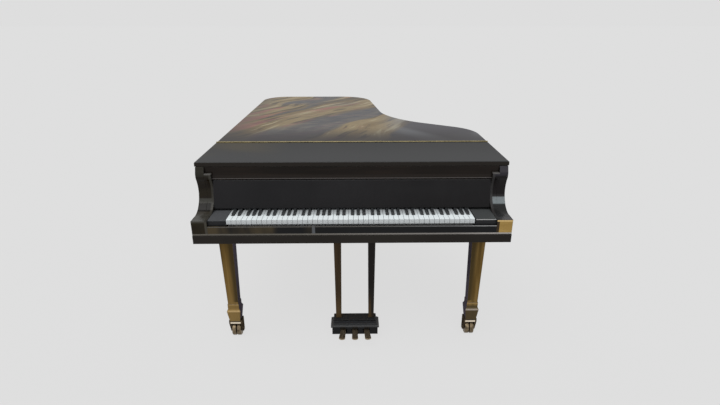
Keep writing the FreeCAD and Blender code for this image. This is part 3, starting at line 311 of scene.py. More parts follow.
class Timber(Finish):
    """Planed wood: rings drawn out along the grain, pores, and an oiled or bare surface."""

    def __init__(self, name, pale, dark, along, ring=45.0):
        super().__init__(name, {"Specular IOR Level": 0.3}, 0.0015)
        drawn = [1.0, 1.0, 1.0]
        drawn[along] = 0.05
        sway = self.noise(5.0, 2.0, drawn)
        rings = self.noise(ring, 4.0, drawn)
        pore = self.noise(ring * 14.0, 2.0, drawn)
        board = self.mix(sway.rise(0.35, 0.65), pale, scaled(pale, 0.8))
        board = self.mix(rings.rise(0.42, 0.62) * 0.75, board, dark)
        self.paint = self.mix(pore.rise(0.58, 0.72) * 0.45, board, scaled(dark, 0.5))
        self.feed("Base Color", self.mix(self.edge * 0.25, self.paint, pale))
        self.feed("Roughness", 0.42 + 0.22 * pore)
        self.relief(pore + rings, 0.00004)


Timber("beech_rail", (0.46, 0.30, 0.165), (0.29, 0.165, 0.080), 0).dress("belly_rail")
Timber("beech_rim", (0.44, 0.28, 0.150), (0.27, 0.150, 0.072), 1).dress("inner_rim", "rim_braces")


# Soundboard and ribs: quartered spruce planks glued edge to edge, with straight fine grain
# along the long bridge, under a thin amber varnish. The ribs are glued on below, across it.
grain_turn = math.radians(-32.0)
spruce = Finish(
    "varnished_spruce",
    {"Specular IOR Level": 0.4, "Coat Weight": 0.35, "Coat Roughness": 0.2},
)
year = spruce.noise(420.0, 2.0, (1.0, 0.012, 1.0), grain_turn)
plank = spruce.noise(9.0, 1.0, (1.0, 0.02, 1.0), grain_turn)
silk = spruce.noise(70.0, 3.0, (0.6, 1.0, 1.0), grain_turn)
wood = spruce.mix(plank.rise(0.4, 0.6), (0.60, 0.385, 0.165), (0.52, 0.320, 0.130))
wood = spruce.mix(year.rise(0.52, 0.66) * 0.7, wood, (0.34, 0.180, 0.065))
wood = spruce.mix(silk.rise(0.55, 0.75) * 0.25, wood, (0.70, 0.490, 0.240))
spruce.feed("Base Color", wood)
spruce.feed("Roughness", 0.30 + 0.15 * silk)
spruce.relief(year, 0.00003)
spruce.dress("soundboard")
rib = Timber("spruce_rib", (0.60, 0.42, 0.22), (0.42, 0.26, 0.115), 0, ring=160.0)
rib.dress("soundboard_ribs")


# Bridge: one curved cap of maple on the soundboard that takes the strings' pressure.
# Its top is blackened with graphite so that the wires slide when they are tuned.
maple = Timber("maple_bridge", (0.56, 0.39, 0.22), (0.40, 0.25, 0.120), 1, ring=90.0)
graphite = maple.facing_z.rise(0.7, 0.95) * maple.noise(70.0, 3.0).rise(0.25, 0.55)
maple.feed("Base Color", maple.mix(graphite * 0.85, maple.paint, (0.045, 0.045, 0.048)))
maple.dress("string_bridge")


# Iron plate: one sand casting with struts and a bearing bar, bolted over the soundboard.
# It is sprayed in bronze paint, with the sand's grain under it and flakes in the paint.
plate = Finish(
    "bronzed_iron",
    {"Specular IOR Level": 0.4, "Coat Weight": 0.2, "Coat Roughness": 0.3},
    0.003,
)
sand = plate.noise(650.0, 3.0)
flake = plate.noise(2600.0, 1.0)
pool = plate.noise(4.0, 3.0)
gold = plate.mix(pool.rise(0.35, 0.65), (0.47, 0.325, 0.110), (0.385, 0.255, 0.080))
gold = plate.mix(flake.rise(0.60, 0.72) * 0.5, gold, (0.74, 0.58, 0.28))
plate.feed("Base Color", plate.mix(plate.edge * 0.35, gold, (0.66, 0.49, 0.21)))
plate.feed("Metallic", 0.55 + 0.3 * flake)
plate.feed("Roughness", 0.36 + 0.2 * sand)
plate.relief(sand, 0.00012)
plate.dress("cast_iron_plate")


# Pin block and pins: laminated maple under the plate, with turned steel tuning pins driven
# into it, blued on the shank, and plain hitch pins at the plate's far edge.
laminate = Timber("pin_block_maple", (0.50, 0.34, 0.19), (0.33, 0.20, 0.10), 0, ring=110.0)
laminate.dress("pin_block")
thread_waves = 9000.0
pin = Finish("blued_pin_steel", {"Metallic": 1.0})
thread = pin.add("ShaderNodeMath", {"operation": "SINE"}, {0: pin.z * thread_waves})
bluing = pin.noise(160.0, 2.0)
blued = pin.mix(bluing.rise(0.35, 0.65), (0.20, 0.215, 0.26), (0.33, 0.33, 0.345))
pin.feed("Base Color", pin.mix(pin.facing_z.rise(0.5, 0.9), blued, (0.62, 0.62, 0.63)))
pin.feed("Roughness", 0.25 + 0.12 * bluing)
pin.relief(thread, 0.00004)
pin.dress("tuning_pins", "hitch_pins")


# Strings: plain steel wire in threes, and bass strings wound with soft copper.
# They are stretched from the tuning pins over the bridge to the hitch pins.
wire = Finish("string_steel", {"Metallic": 1.0})
bloom = wire.noise(30.0, 3.0, (1.0, 0.2, 1.0))
wire.feed("Base Color", wire.mix(bloom.rise(0.45, 0.75), (0.68, 0.69, 0.71), (0.42, 0.39, 0.35)))
wire.feed("Roughness", 0.18 + 0.2 * bloom)
wire.dress("plain_strings")

winding_waves = 5200.0
copper = Finish("wound_copper", {"Metallic": 1.0})
winding = copper.add("ShaderNodeMath", {"operation": "SINE"}, {0: copper.y * winding_waves})
verdigris = copper.noise(24.0, 4.0)
copper_tone = copper.mix(verdigris.rise(0.5, 0.8), (0.74, 0.40, 0.24), (0.36, 0.19, 0.11))
groove = winding.rise(-0.2, -0.9)
copper.feed("Base Color", copper.mix(groove * 0.6, copper_tone, (0.20, 0.095, 0.055)))
copper.feed("Roughness", 0.28 + 0.18 * verdigris)
copper.relief(winding, 0.0003)
copper.dress("wound_strings")


# Outer rim: the bent case wall with both arms, laminated round a form and finished in black
# polish. The arms' scooped fronts carry pale and brown bands of painted reflection and shade,
# with painted highlights on their inner edges and foot, and the right arm's front block is
# painted gold as a reflection, like the legs, with a painted highlight along its top.
foot_line_full = 0.6727
foot_line_end = 0.6745


def paint_foot_highlight(finish):
    """Lays a pale painted highlight line along the foot of the case's front, brighter towards its
    right end.
    """
    front = finish.y.rise(-1.080, -1.086)
    pale = finish.mix(finish.x.rise(-0.5, 0.45), (0.105, 0.096, 0.082), (0.200, 0.187, 0.176))
    pale = finish.mix(finish.x.rise(0.45, 0.68), pale, (0.330, 0.310, 0.290))
    line = finish.z.rise(foot_line_end, foot_line_full) * front
    finish.paint = finish.mix(line, finish.paint, pale)


def paint_arms(finish):
    """Lays the arms' painted reflection and shade bands, edge highlights and gold block over the
    paint: pairs are the left and the right tone.
    """
    front = finish.y.rise(-0.90, -0.93) * abs(finish.facing_x).rise(0.8, 0.5)
    right = finish.x.rise(-0.05, 0.05)
    fibre = finish.noise(30.0, 3.0, (0.2, 0.2, 1.0))
    unused = (0.0, 0.0, 0.0)

    def lay(mask, left_tone, right_tone):
        tone = finish.mix(right, left_tone, right_tone)
        finish.paint = finish.mix(mask * front, finish.paint, tone)

    lay(1.0, (0.0100, 0.0066, 0.0030), (0.0062, 0.0046, 0.0048))
    lay(fibre.rise(0.40, 0.70) * 0.6, (0.0055, 0.0032, 0.0014), (0.0040, 0.0030, 0.0032))

    # Bands by height on the scooped fronts and block tops: painted reflections and shade, lighter
    # and darker.
    neck = finish.z.rise(0.898, 0.910)
    lay(neck, (0.0175, 0.0158, 0.0115), (0.0215, 0.0195, 0.0250))
    brown_band = finish.z.within(0.800, 0.840, 0.012)
    lay(brown_band * 0.7, (0.0145, 0.0115, 0.0055), (0.0062, 0.0046, 0.0048))
    hollow = finish.z.rise(0.776, 0.770)
    lay(hollow, (0.0030, 0.0016, 0.0004), (0.0145, 0.0145, 0.0145))
    left_band = finish.z.within(0.773, 0.793, 0.003) * (1 - right)
    lay(left_band, (0.0370, 0.0360, 0.0305), unused)
    right_band = finish.z.within(0.765, 0.794, 0.003) * right
    lay(right_band, unused, (0.158, 0.180, 0.188))

    scoop = finish.z.rise(0.747, 0.742)
    lay(scoop, (0.0330, 0.0290, 0.0225), (0.0145, 0.0145, 0.0145))
    scoop_front = finish.y.rise(-1.004, -1.014)
    lay(scoop_front, (0.0390, 0.0360, 0.0295), (0.0155, 0.0150, 0.0155))
    block_top = finish.y.rise(-1.050, -1.070)
    lay(block_top, (0.0500, 0.0490, 0.0430), (0.0320, 0.0300, 0.0325))
    # A pale painted highlight along the inner edges, down from the ledge.
    inner_edge = abs(finish.x).rise(0.680, 0.677) * finish.z.rise(0.915, 0.905)
    lay(inner_edge, (0.0360, 0.0335, 0.0275), (0.0290, 0.0275, 0.0275))

    # The front blocks: a painted gold reflection on the right, dark brown on the left, with a pale
    # painted highlight along the block's top.
    block = finish.z.rise(0.737, 0.733) * finish.to_room(0.25, 0.7)
    lay(block, (0.0140, 0.0105, 0.0040), (0.300, 0.190, 0.055))
    lay(block * fibre.rise(0.3, 0.7), (0.0090, 0.0060, 0.0020), (0.385, 0.252, 0.080))
    lay(block * inner_edge, (0.0440, 0.0400, 0.0310), (0.0300, 0.0180, 0.0080))
    block_highlight = block * finish.z.rise(0.7275, 0.7300)
    lay(block_highlight, (0.0400, 0.0370, 0.0300), (0.640, 0.455, 0.200))
    paint_foot_highlight(finish)

    # The right block's painted gold reflection is also made partly metallic.
    gold_reflection = block * finish.z.rise(foot_line_full, foot_line_end) * abs(finish.x).rise(0.676, 0.679)
    finish.feed("Metallic", 0.5 * gold_reflection * front * right)
    rim_joint = abs(abs(finish.x) - 0.699)
    finish.edge = finish.edge * rim_joint.rise(0.003, 0.005)


rim = BlackPolish("black_polish_rim", (0.0095, 0.0090, 0.0088), (0.0160, 0.0150, 0.0145))
paint_arms(rim)
rim.rub_and_highlight_edges((0.045, 0.042, 0.038))
rim.dress("outer_rim")


# Arm cheeks: two boards glued inside the arms that carry the fallboard's pins. Their fronts
# carry on the arms' painted bands, and their upper ledges and inner edges carry pale painted
# highlights.
cheek = BlackPolish("black_polish_cheeks", (0.0120, 0.0100, 0.0090), (0.0185, 0.0155, 0.0140))
paint_arms(cheek)
# A pale painted highlight along the upper ledge.
ledge_highlight = cheek.z.rise(0.911, 0.915)
cheek.paint = cheek.mix(ledge_highlight * 0.8, cheek.paint, (0.110, 0.105, 0.100))
cheek.rub_and_highlight_edges((0.045, 0.042, 0.038))
cheek.dress("arm_cheeks")


# Key slip and key blocks: a strip in front of the keys and a block at either end, screwed
# up from below. The strip's left part carries a brown painted reflection up to a pale painted
# highlight tick, and painted highlights run along its top front edge and its foot.
tick_left = -0.187
tick_right = -0.173
slip = BlackPolish("black_polish_slip", (0.0044, 0.0045, 0.0050), (0.0062, 0.0063, 0.0069))
# Painted reflection: brown patches on the strip's left part up to the tick, and brown at its far
# left end.
brown_reflection = slip.x.rise(tick_right, tick_left)
tawny = slip.noise(7.0, 3.0, (1.0, 1.0, 0.3))
slip.paint = slip.mix(brown_reflection * tawny.rise(0.42, 0.62), slip.paint, (0.042, 0.032, 0.017))
slip.paint = slip.mix(slip.x.rise(-0.600, -0.635), slip.paint, (0.050, 0.037, 0.019))
# A pale vertical painted highlight tick.
tick_highlight = slip.x.within(tick_left, tick_right, 0.002)
slip.paint = slip.mix(tick_highlight * 0.9, slip.paint, (0.085, 0.090, 0.098))
# A painted highlight along the top front edge, paler towards the right.
edge_highlight_tone = slip.mix(slip.x.rise(0.05, 0.45), (0.088, 0.082, 0.074), (0.150, 0.151, 0.153))
edge_highlight_tone = slip.mix(slip.x.rise(0.45, 0.62), edge_highlight_tone, (0.300, 0.300, 0.300))
front_edge = slip.z.rise(0.7050, 0.7062) * slip.y.rise(-1.0855, -1.0880)
slip.paint = slip.mix(front_edge * 0.9, slip.paint, edge_highlight_tone)
paint_foot_highlight(slip)
slip.rub_and_highlight_edges((0.040, 0.040, 0.042))
slip.dress("key_slip")

blocks = BlackPolish("black_polish_blocks", (0.0110, 0.0115, 0.0125), (0.0170, 0.0175, 0.0190))
right_block = blocks.x.rise(-0.05, 0.05)
# Painted reflection: the blocks' tops are painted paler than their sides.
lit_top_tone = blocks.mix(right_block, (0.078, 0.081, 0.086), (0.060, 0.064, 0.065))
blocks.paint = blocks.mix(blocks.facing_z.rise(0.6, 0.9), blocks.paint, lit_top_tone)
lit_edge = blocks.z.rise(0.7305, 0.7325) * blocks.to_room(0.3, 0.7)
edge_tone = blocks.mix(right_block, (0.050, 0.052, 0.058), (0.420, 0.420, 0.420))
blocks.paint = blocks.mix(lit_edge, blocks.paint, edge_tone)
blocks.rub_and_highlight_edges((0.090, 0.090, 0.092))
blocks.dress("key_blocks")


# Stretcher: the rail under the lid's front edge, between the arms, in brownish black polish,
# a little lighter on its lower part, with a pale painted highlight line along its lower edge.
rail = BlackPolish("black_polish_stretcher", (0.0052, 0.0032, 0.0020), (0.0078, 0.0049, 0.0033))
fibre = rail.noise(60.0, 4.0, (0.05, 1.0, 1.0))
rail.paint = rail.mix(fibre.rise(0.45, 0.75) * 0.5, rail.paint, (0.018, 0.011, 0.007))
rail.paint = rail.mix(rail.z.rise(0.9110, 0.9040) * 0.6, rail.paint, (0.0155, 0.0115, 0.0092))
# A pale painted highlight line along the lower edge.
rail.paint = rail.mix(rail.z.rise(0.8925, 0.8905) * 0.9, rail.paint, (0.078, 0.070, 0.068))
rail.rub_and_highlight_edges((0.085, 0.078, 0.074))
rail.dress("stretcher")


# Key frame and action rails: planed maple rails that slide on the key bed, with grey felt on
# the front rail, and the brackets that hold the hammer and lever rails.
key_rail = Timber("maple_key_frame", (0.54, 0.38, 0.215), (0.38, 0.24, 0.120), 0, ring=80.0)
felted = key_rail.y.rise(-1.000, -1.003)
key_rail.feed("Base Color", key_rail.mix(felted, key_rail.paint, (0.36, 0.37, 0.38)))
key_rail.dress("key_frame")
action_rail = Timber("maple_action_rail", (0.50, 0.34, 0.185), (0.34, 0.21, 0.100), 0, ring=90.0)
action_rail.dress("action_rails")


# White keys: limewood levers with a moulded ivory-white top and front. Each one has its own
# faint tone. The tops are cleanest where fingers land; painted shade greys them between the
# sharps, and the fronts and the gaps between keys are painted darker as shade.
white_count = 49
keyboard_left = -0.58375
keyboard_width = 1.1515
cover_end = -0.915
cover_start = -0.917


def limewood(finish):
    grain = finish.noise(60.0, 4.0, (1.0, 0.04, 1.0))
    return finish.mix(grain.rise(0.42, 0.62), (0.60, 0.44, 0.26), (0.47, 0.32, 0.17))


ivory = Finish("ivory_white_keys", {"Specular IOR Level": 0.5}, 0.0009)
across = (ivory.x - keyboard_left) * (white_count / keyboard_width)
number = ivory.add("ShaderNodeMath", {"operation": "FLOOR"}, {0: across})
own = ivory.add("ShaderNodeTexWhiteNoise", {"noise_dimensions": "1D"}, {"W": number})
cloudy = ivory.noise(120.0, 3.0, (1.0, 0.3, 1.0))
tone = ivory.mix(own, (0.885, 0.955, 0.975), (0.845, 0.912, 0.932))
tone = ivory.mix(cloudy.rise(0.50, 0.80) * 0.12, tone, (0.780, 0.790, 0.780))
played = ivory.y.rise(-1.03, -1.06) * ivory.facing_z.rise(0.5, 0.9)
tone = ivory.mix(played * 0.5, tone, (0.910, 0.975, 0.990))
# Painted shade on the tops between the sharps, from the sharps and the fallboard.
shade_between_sharps = 0.60 * ivory.y.rise(-1.030, -0.995) + 0.25 * ivory.y.rise(-0.995, -0.965)
tone = ivory.mix(shade_between_sharps, tone, (0.300, 0.316, 0.326))
# Painted shade: the fronts turned to the room are darker than the tops.
tone = ivory.mix(ivory.to_room(0.5, 0.9) * 0.80, tone, (0.380, 0.398, 0.406))
# Painted shade in the gaps between neighbouring keys.
gap_shade = abs(across - number - 0.5).rise(0.43, 0.49)
tone = ivory.mix(gap_shade * 0.75, tone, (0.200, 0.205, 0.210))
top_cover = ivory.z.rise(0.7205, 0.7215) * ivory.y.rise(cover_end, cover_start)
covered = top_cover + (1 - top_cover) * ivory.y.rise(-1.0700, -1.0715)
ivory.feed("Base Color", ivory.mix(covered, limewood(ivory), tone))
ivory.feed("Roughness", 0.50 - 0.28 * covered + 0.12 * cloudy)
ivory.relief(cloudy, 0.00001)
ivory.dress("white_keys")


# Black keys: tapered sharps of ebony glued on limewood levers. The ebony shows a faint
# lengthwise grain, its front slopes are darker and its edges a little rubbed.
ebony = Finish("ebony_sharps", {"Specular IOR Level": 0.3}, 0.0012)
vein = ebony.noise(260.0, 3.0, (1.0, 0.05, 1.0))
dark = ebony.mix(vein.rise(0.40, 0.66), (0.020, 0.0225, 0.0245), (0.034, 0.036, 0.038))
dark = ebony.mix(ebony.to_room(0.25, 0.60) * 0.8, dark, (0.006, 0.0065, 0.007))
dark = ebony.mix(ebony.edge * 0.3, dark, (0.050, 0.053, 0.055))
sharp = ebony.y.rise(cover_end, cover_start)
ebony.feed("Base Color", ebony.mix(sharp, limewood(ebony), dark))
ebony.feed("Roughness", 0.30 + 0.15 * vein + 0.15 * (1 - sharp))
ebony.relief(vein, 0.00002)
ebony.dress("black_keys")


# Levers: one pearwood lever with an upright jack over each key's end, turning on a centre pin
# in the lever rail.
lever = Timber("pearwood_lever", (0.52, 0.31, 0.175), (0.36, 0.19, 0.095), 1, ring=120.0)
lever.dress("white_levers", "black_levers")


# Hammers: maple shanks with heads of pressed wool felt. The felt is cream, fuzzy and a little
# clumped, and starts where the shank ends.
felt_start = -0.624
felt = Finish("hammer_felt", {"Specular IOR Level": 0.2, "Sheen Weight": 0.3}, 0.001)
fuzz = felt.noise(1500.0, 4.0)
clump = felt.noise(120.0, 3.0)
shank = felt.noise(200.0, 3.0, (1.0, 0.05, 1.0))
wool = felt.mix(clump.rise(0.35, 0.7), (0.74, 0.69, 0.58), (0.63, 0.58, 0.47))
wool = felt.mix(fuzz.rise(0.55, 0.75) * 0.3, wool, (0.84, 0.80, 0.70))
shank_tone = felt.mix(shank.rise(0.42, 0.62), (0.58, 0.41, 0.235), (0.43, 0.28, 0.140))
head = felt.y.rise(felt_start, felt_start + 0.002)
felt.feed("Base Color", felt.mix(head, shank_tone, wool))
felt.feed("Roughness", 0.50 + 0.42 * head)
felt.relief(fuzz * head, 0.0004)
felt.dress("white_hammers", "black_hammers")


# Dampers: blocks of grey-black felt under lacquered heads on steel wires, lifted together by
# a wooden tray behind the hammers.
mute = Finish("damper_felt", {"Specular IOR Level": 0.25}, 0.0008)
nap = mute.noise(1300.0, 4.0)
matted = mute.noise(140.0, 3.0)
grey = mute.mix(matted.rise(0.35, 0.7), (0.055, 0.055, 0.058), (0.105, 0.100, 0.098))
capped = mute.z.rise(0.9000, 0.9004)
wired = mute.z.rise(0.8895, 0.8885)
body = mute.mix(capped, grey, (0.014, 0.014, 0.015))
mute.feed("Base Color", mute.mix(wired, body, (0.55, 0.55, 0.56)))
mute.feed("Metallic", wired)
mute.feed("Roughness", 0.92 - 0.62 * capped - 0.62 * wired)
mute.relief(nap * (1 - wired), 0.0002)
mute.dress("dampers")
tray = Timber("beech_damper_tray", (0.46, 0.30, 0.165), (0.29, 0.165, 0.080), 0)
tray.dress("damper_tray")


# Fallboard: the board that closes over the keys, turned up here against the stretcher on two
# pins. It has the deepest polish, with long soft wipe marks.
fall = BlackPolish("black_polish_fallboard", (0.0092, 0.0088, 0.0098), (0.0125, 0.0120, 0.0132))
wipe = fall.noise(5.0, 4.0, (0.25, 1.0, 1.0))
fall.paint = fall.mix(wipe.rise(0.45, 0.7) * 0.6, fall.paint, (0.0175, 0.0176, 0.0190))
fall.paint = fall.mix(fall.x.rise(-0.35, 0.60) * 0.6, fall.paint, (0.0048, 0.0040, 0.0042))
fall.rub_and_highlight_edges((0.060, 0.059, 0.061))
fall.dress("fallboard")


# Music desk: a shelf on the cheeks and a folding board that turns on two brass ears, all under
# the closed lid. Wood in black polish, the ears of cast brass.
desk = BlackPolish("black_polish_desk", (0.0100, 0.0095, 0.0092), (0.0165, 0.0155, 0.0150))
desk.rub_and_highlight_edges((0.085, 0.080, 0.075))
desk.dress("desk_tray", "music_desk")


def brass_finish(name, bright, dull, gloss):
    """Lacquered brass with fine scratches and rubbed edges; gloss is its lowest roughness."""
    brass = Finish(name, {"Metallic": 1.0}, 0.001)
    lacquered = brass.noise(55.0, 4.0)
    scratch = brass.noise(500.0, 2.0, (0.04, 1.0, 1.0))
    metal = brass.mix(lacquered.rise(0.38, 0.70), bright, dull)
    metal = brass.mix(scratch.rise(0.62, 0.75) * 0.25, metal, scaled(bright, 1.35))
    brass.feed("Base Color", brass.mix(brass.edge * 0.4, metal, scaled(bright, 1.2)))
    brass.feed("Roughness", gloss + 0.16 * lacquered + 0.08 * scratch)
    brass.relief(scratch, 0.00002)
    return brass


ear = brass_finish("cast_brass", (0.66, 0.47, 0.205), (0.40, 0.27, 0.110), 0.22)
ear.dress("desk_brackets")


# Lid: the main leaf, veneered on its top under dark lacquer, with the edges and the underside
# in black polish. The top's figure is a painted reflection in the look of figured wood: streaked
# in gold, cream, red and slate, and painted darker towards the fold; two thin joints run across
# it, painted as pale highlight lines. The front flap is black, a little lighter towards its
# front, with a warm painted reflection on its left.
lean_x = 0.80
lean_y = 0.60
lid = Finish("figured_lid_veneer", {"Specular IOR Level": 0.0, "Coat Roughness": 0.10})
drift = lid.noise(0.9, 2.0)
flow = lean_x * lid.x - lean_y * lid.y + 0.75 * drift
along = lean_y * lid.x + lean_x * lid.y
figure = lid.add("ShaderNodeCombineXYZ", {}, {0: flow, 1: 0.10 * along, 2: 0.3 * drift})
broad = lid.noise(5.0, 2.0, start=figure)
streak = lid.noise(17.0, 3.0, start=figure)
hair = lid.noise(150.0, 3.0, start=figure)
second = lid.add("ShaderNodeCombineXYZ", {}, {0: flow + 3.1, 1: 0.16 * along + 1.7, 2: drift})
heart = lid.noise(6.5, 2.0, start=second)
cloud = lid.noise(1.9, 2.0, start=second)
ripple = lid.noise(42.0, 2.0, (0.25, 1.0, 1.0), 0.5)
veneered = lid.facing_z.rise(0.3, 0.7)
# The veneer's colours are a painted reflection, in the look of figured wood.
veneer_reflection = lid.mix(broad.rise(0.40, 0.60), (0.135, 0.090, 0.036), (0.235, 0.175, 0.088))
veneer_reflection = lid.mix(streak.rise(0.53, 0.62) * 0.85, veneer_reflection, (0.040, 0.030, 0.020))
veneer_reflection = lid.mix(streak.rise(0.44, 0.35) * 0.75, veneer_reflection, (0.370, 0.320, 0.200))
red_reflection = heart.rise(0.55, 0.64) * lid.x.rise(0.15, -0.2) * 0.75
veneer_reflection = lid.mix(red_reflection, veneer_reflection, (0.240, 0.080, 0.072))
veneer_reflection = lid.mix(cloud.rise(0.55, 0.62) * 0.85, veneer_reflection, (0.055, 0.060, 0.075))
veneer_reflection = lid.mix(hair.rise(0.50, 0.70) * 0.30, veneer_reflection, (0.070, 0.050, 0.030))
veneer_reflection = lid.mix(ripple.rise(0.45, 0.75) * 0.15, veneer_reflection, (0.380, 0.310, 0.190))
slate = lid.mix(cloud.rise(0.40, 0.52), (0.175, 0.185, 0.200), (0.048, 0.046, 0.055))
# A paler slate sweep on the right wing, part of the painted reflection.
sweep = abs(lean_x * lid.x + lean_y * lid.y + 0.10 * drift - 0.12).rise(0.11, 0.02)
slate = lid.mix(sweep * 0.85, slate, (0.165, 0.175, 0.190))
veneer_reflection = lid.mix(lid.x.rise(0.12, 0.45), veneer_reflection, slate)
veneer_reflection = lid.mix(lid.x.rise(-0.55, -0.74) * 0.6, veneer_reflection, (0.075, 0.066, 0.048))
# Painted darker towards the fold.
near_fold = lid.y.rise(-0.10, -0.50)
veneer_reflection = lid.mix(near_fold * 0.9, veneer_reflection, (0.031, 0.028, 0.030))
# Two thin joints across the top, painted as pale highlight lines.
for joint_y in (0.22, 0.71):
    joint = abs(lid.y - joint_y).rise(0.005, 0.002)
    veneer_reflection = lid.mix(joint * 0.5, veneer_reflection, (0.330, 0.210, 0.160))
lid.feed("Base Color", lid.mix(veneered, (0.0120, 0.0100, 0.0090), veneer_reflection))
lid.feed("Roughness", 0.35 + 0.15 * hair)
lid.feed("Coat Weight", 0.06 + (0.24 + 0.10 * drift - 0.06 * near_fold) * veneered)
lid.relief(hair, 0.000006)
lid.dress("lid_main")

flap = Finish("black_polish_lid_front", {"Specular IOR Level": 0.0, "Coat Roughness": 0.12})
haze = flap.noise(2.0, 3.0, (0.5, 1.0, 1.0))
smear = flap.noise(18.0, 5.0, (0.5, 1.0, 1.0))
speck = flap.noise(900.0, 1.0)
upper = flap.facing_z.rise(0.3, 0.7)
# Painted reflection: the flap's top is a little lighter towards its front and warm on its left.
near = flap.y.rise(-0.53, -0.93)
black = flap.mix(near, (0.0185, 0.0188, 0.0195), (0.0260, 0.0270, 0.0285))
warm_reflection = flap.x.rise(-0.30, -0.60) * haze.rise(0.4, 0.65)
black = flap.mix(warm_reflection * 0.7, black, (0.050, 0.040, 0.022))
black = flap.mix(speck.rise(0.62, 0.72) * 0.10, black, (0.12, 0.12, 0.115))
flap.feed("Base Color", flap.mix(upper, (0.0205, 0.0178, 0.0155), black))
flap.feed("Roughness", 0.32 + 0.15 * smear)
flap.feed("Coat Weight", 0.05 + (0.20 + 0.06 * near + 0.05 * haze) * upper)
flap.relief(flap.noise(240.0, 1.0), 0.000004)
flap.dress("lid_front")


# Lid hardware: the long folding hinge of rolled brass, the three cast spine hinges, rubber
# buttons on the rim, and the prop stick with its cast bracket and cup under the lid.
fold_brass = Finish("rolled_hinge_brass", {"Metallic": 1.0})
dulled = fold_brass.noise(14.0, 2.0)
fold_tone = fold_brass.mix(dulled.rise(0.3, 0.7), (0.290, 0.244, 0.128), (0.262, 0.222, 0.118))
fold_brass.feed("Base Color", fold_tone)
fold_brass.feed("Roughness", 0.55 + 0.05 * dulled)
fold_brass.dress("fold_hinge_rear_leaf", "fold_hinge_front_leaf")
hinge = brass_finish("cast_hinge_brass", (0.300, 0.262, 0.130), (0.250, 0.216, 0.105), 0.42)
hinge.dress("spine_hinge_rim_leaves", "spine_hinge_lid_leaves", "prop_bracket", "prop_cup")

rubber = Finish("rubber_buttons", {"Specular IOR Level": 0.3})
grit = rubber.noise(1800.0, 3.0)
rubber_tone = rubber.mix(grit.rise(0.4, 0.7), (0.018, 0.018, 0.018), (0.040, 0.039, 0.037))
rubber.feed("Base Color", rubber_tone)
rubber.feed("Roughness", 0.65 + 0.25 * grit)
rubber.relief(grit, 0.00008)
rubber.dress("lid_bumpers")

prop = BlackPolish("black_polish_prop", (0.0100, 0.0095, 0.0092), (0.0165, 0.0155, 0.0150), 0.002)
prop.rub_and_highlight_edges((0.090, 0.085, 0.080))
prop.dress("lid_prop")


# Lyre: two tapered posts under the key bed that carry the pedal box. The left post carries a
# brown painted reflection, the right one stays dark down to a brown foot; the box has stepped
# mouldings, darker below, with paler painted tops and a painted highlight line on its ridge.
lyre = BlackPolish(
    "black_polish_lyre_posts",
    (0.0110, 0.0095, 0.0085),
    (0.0170, 0.0145, 0.0130),
    shine=0.06,
)
# The left post is painted brown as a reflection; the right post is brown only at its foot.
left_post = lyre.x.rise(0.05, 0.0)
brush = lyre.noise(38.0, 4.0, (1.0, 1.0, 0.05))
tan = lyre.mix(brush.rise(0.3, 0.7), (0.024, 0.015, 0.008), (0.056, 0.035, 0.017))
foot = lyre.z.rise(0.30, 0.16)
tan = lyre.mix(foot * 0.6, tan, (0.084, 0.053, 0.023))
right_post = lyre.mix(foot * brush.rise(0.35, 0.6), lyre.paint, tan)
lyre.paint = lyre.mix(left_post * 0.9, right_post, tan)
lyre.rub_and_highlight_edges((0.090, 0.070, 0.050))
lyre.dress("lyre_posts")

box = BlackPolish("black_polish_pedal_box", (0.0150, 0.0158, 0.0172), (0.0195, 0.0202, 0.0218))
# The box is darker on its lower part.
box.paint = box.mix(box.z.rise(0.0902, 0.0896), box.paint, (0.0045, 0.0046, 0.0052))
# Painted light: faces turned up and the step are paler, the risers darker.
box.paint = box.mix(box.facing_z.rise(0.6, 0.9), box.paint, (0.0225, 0.0232, 0.0245))
step = box.z.within(0.1001, 0.1109, 0.0003)
box.paint = box.mix(step, box.paint, (0.0270, 0.0285, 0.0310))
riser = box.z.rise(0.1108, 0.1114) * box.to_room(0.5, 0.9)
box.paint = box.mix(riser, box.paint, (0.0060, 0.0062, 0.0068))
# A pale painted highlight line along the ridge.
ridge_highlight = abs(box.z - 0.0985).rise(0.0030, 0.0012)
box.paint = box.mix(ridge_highlight, box.paint, (0.0760, 0.0770, 0.0790))
box.rub_and_highlight_edges((0.034, 0.035, 0.037))
box.dress("pedal_box")


# Pedals, rods and braces: cast pedals in dulled bronze that turn on a shaft in the box, drawn
# brass rods inside the posts, and two slanting brass braces behind them.
pedal = Finish("pedal_bronze", {"Metallic": 1.0}, 0.0015)
scuff = pedal.noise(140.0, 4.0, (1.0, 0.25, 1.0))
age = pedal.noise(32.0, 3.0)
pedal_tone = pedal.mix(age.rise(0.35, 0.65), (0.360, 0.290, 0.200), (0.270, 0.218, 0.150))
shoe = pedal.y.rise(-1.02, -1.06) * pedal.facing_z.rise(0.3, 0.8)
trodden = shoe * scuff.rise(0.4, 0.7) * 0.7
pedal_tone = pedal.mix(trodden, pedal_tone, (0.330, 0.260, 0.165))
pedal.feed("Base Color", pedal.mix(pedal.edge * 0.5, pedal_tone, (0.300, 0.235, 0.145)))
pedal.feed("Roughness", 0.34 + 0.22 * scuff)
pedal.relief(scuff, 0.00005)
pedal.dress("pedal_left", "pedal_middle", "pedal_right")
rod = brass_finish("drawn_brass", (0.50, 0.37, 0.170), (0.30, 0.215, 0.100), 0.28)
rod.dress("lyre_braces", "pedal_rod_left", "pedal_rod_right")


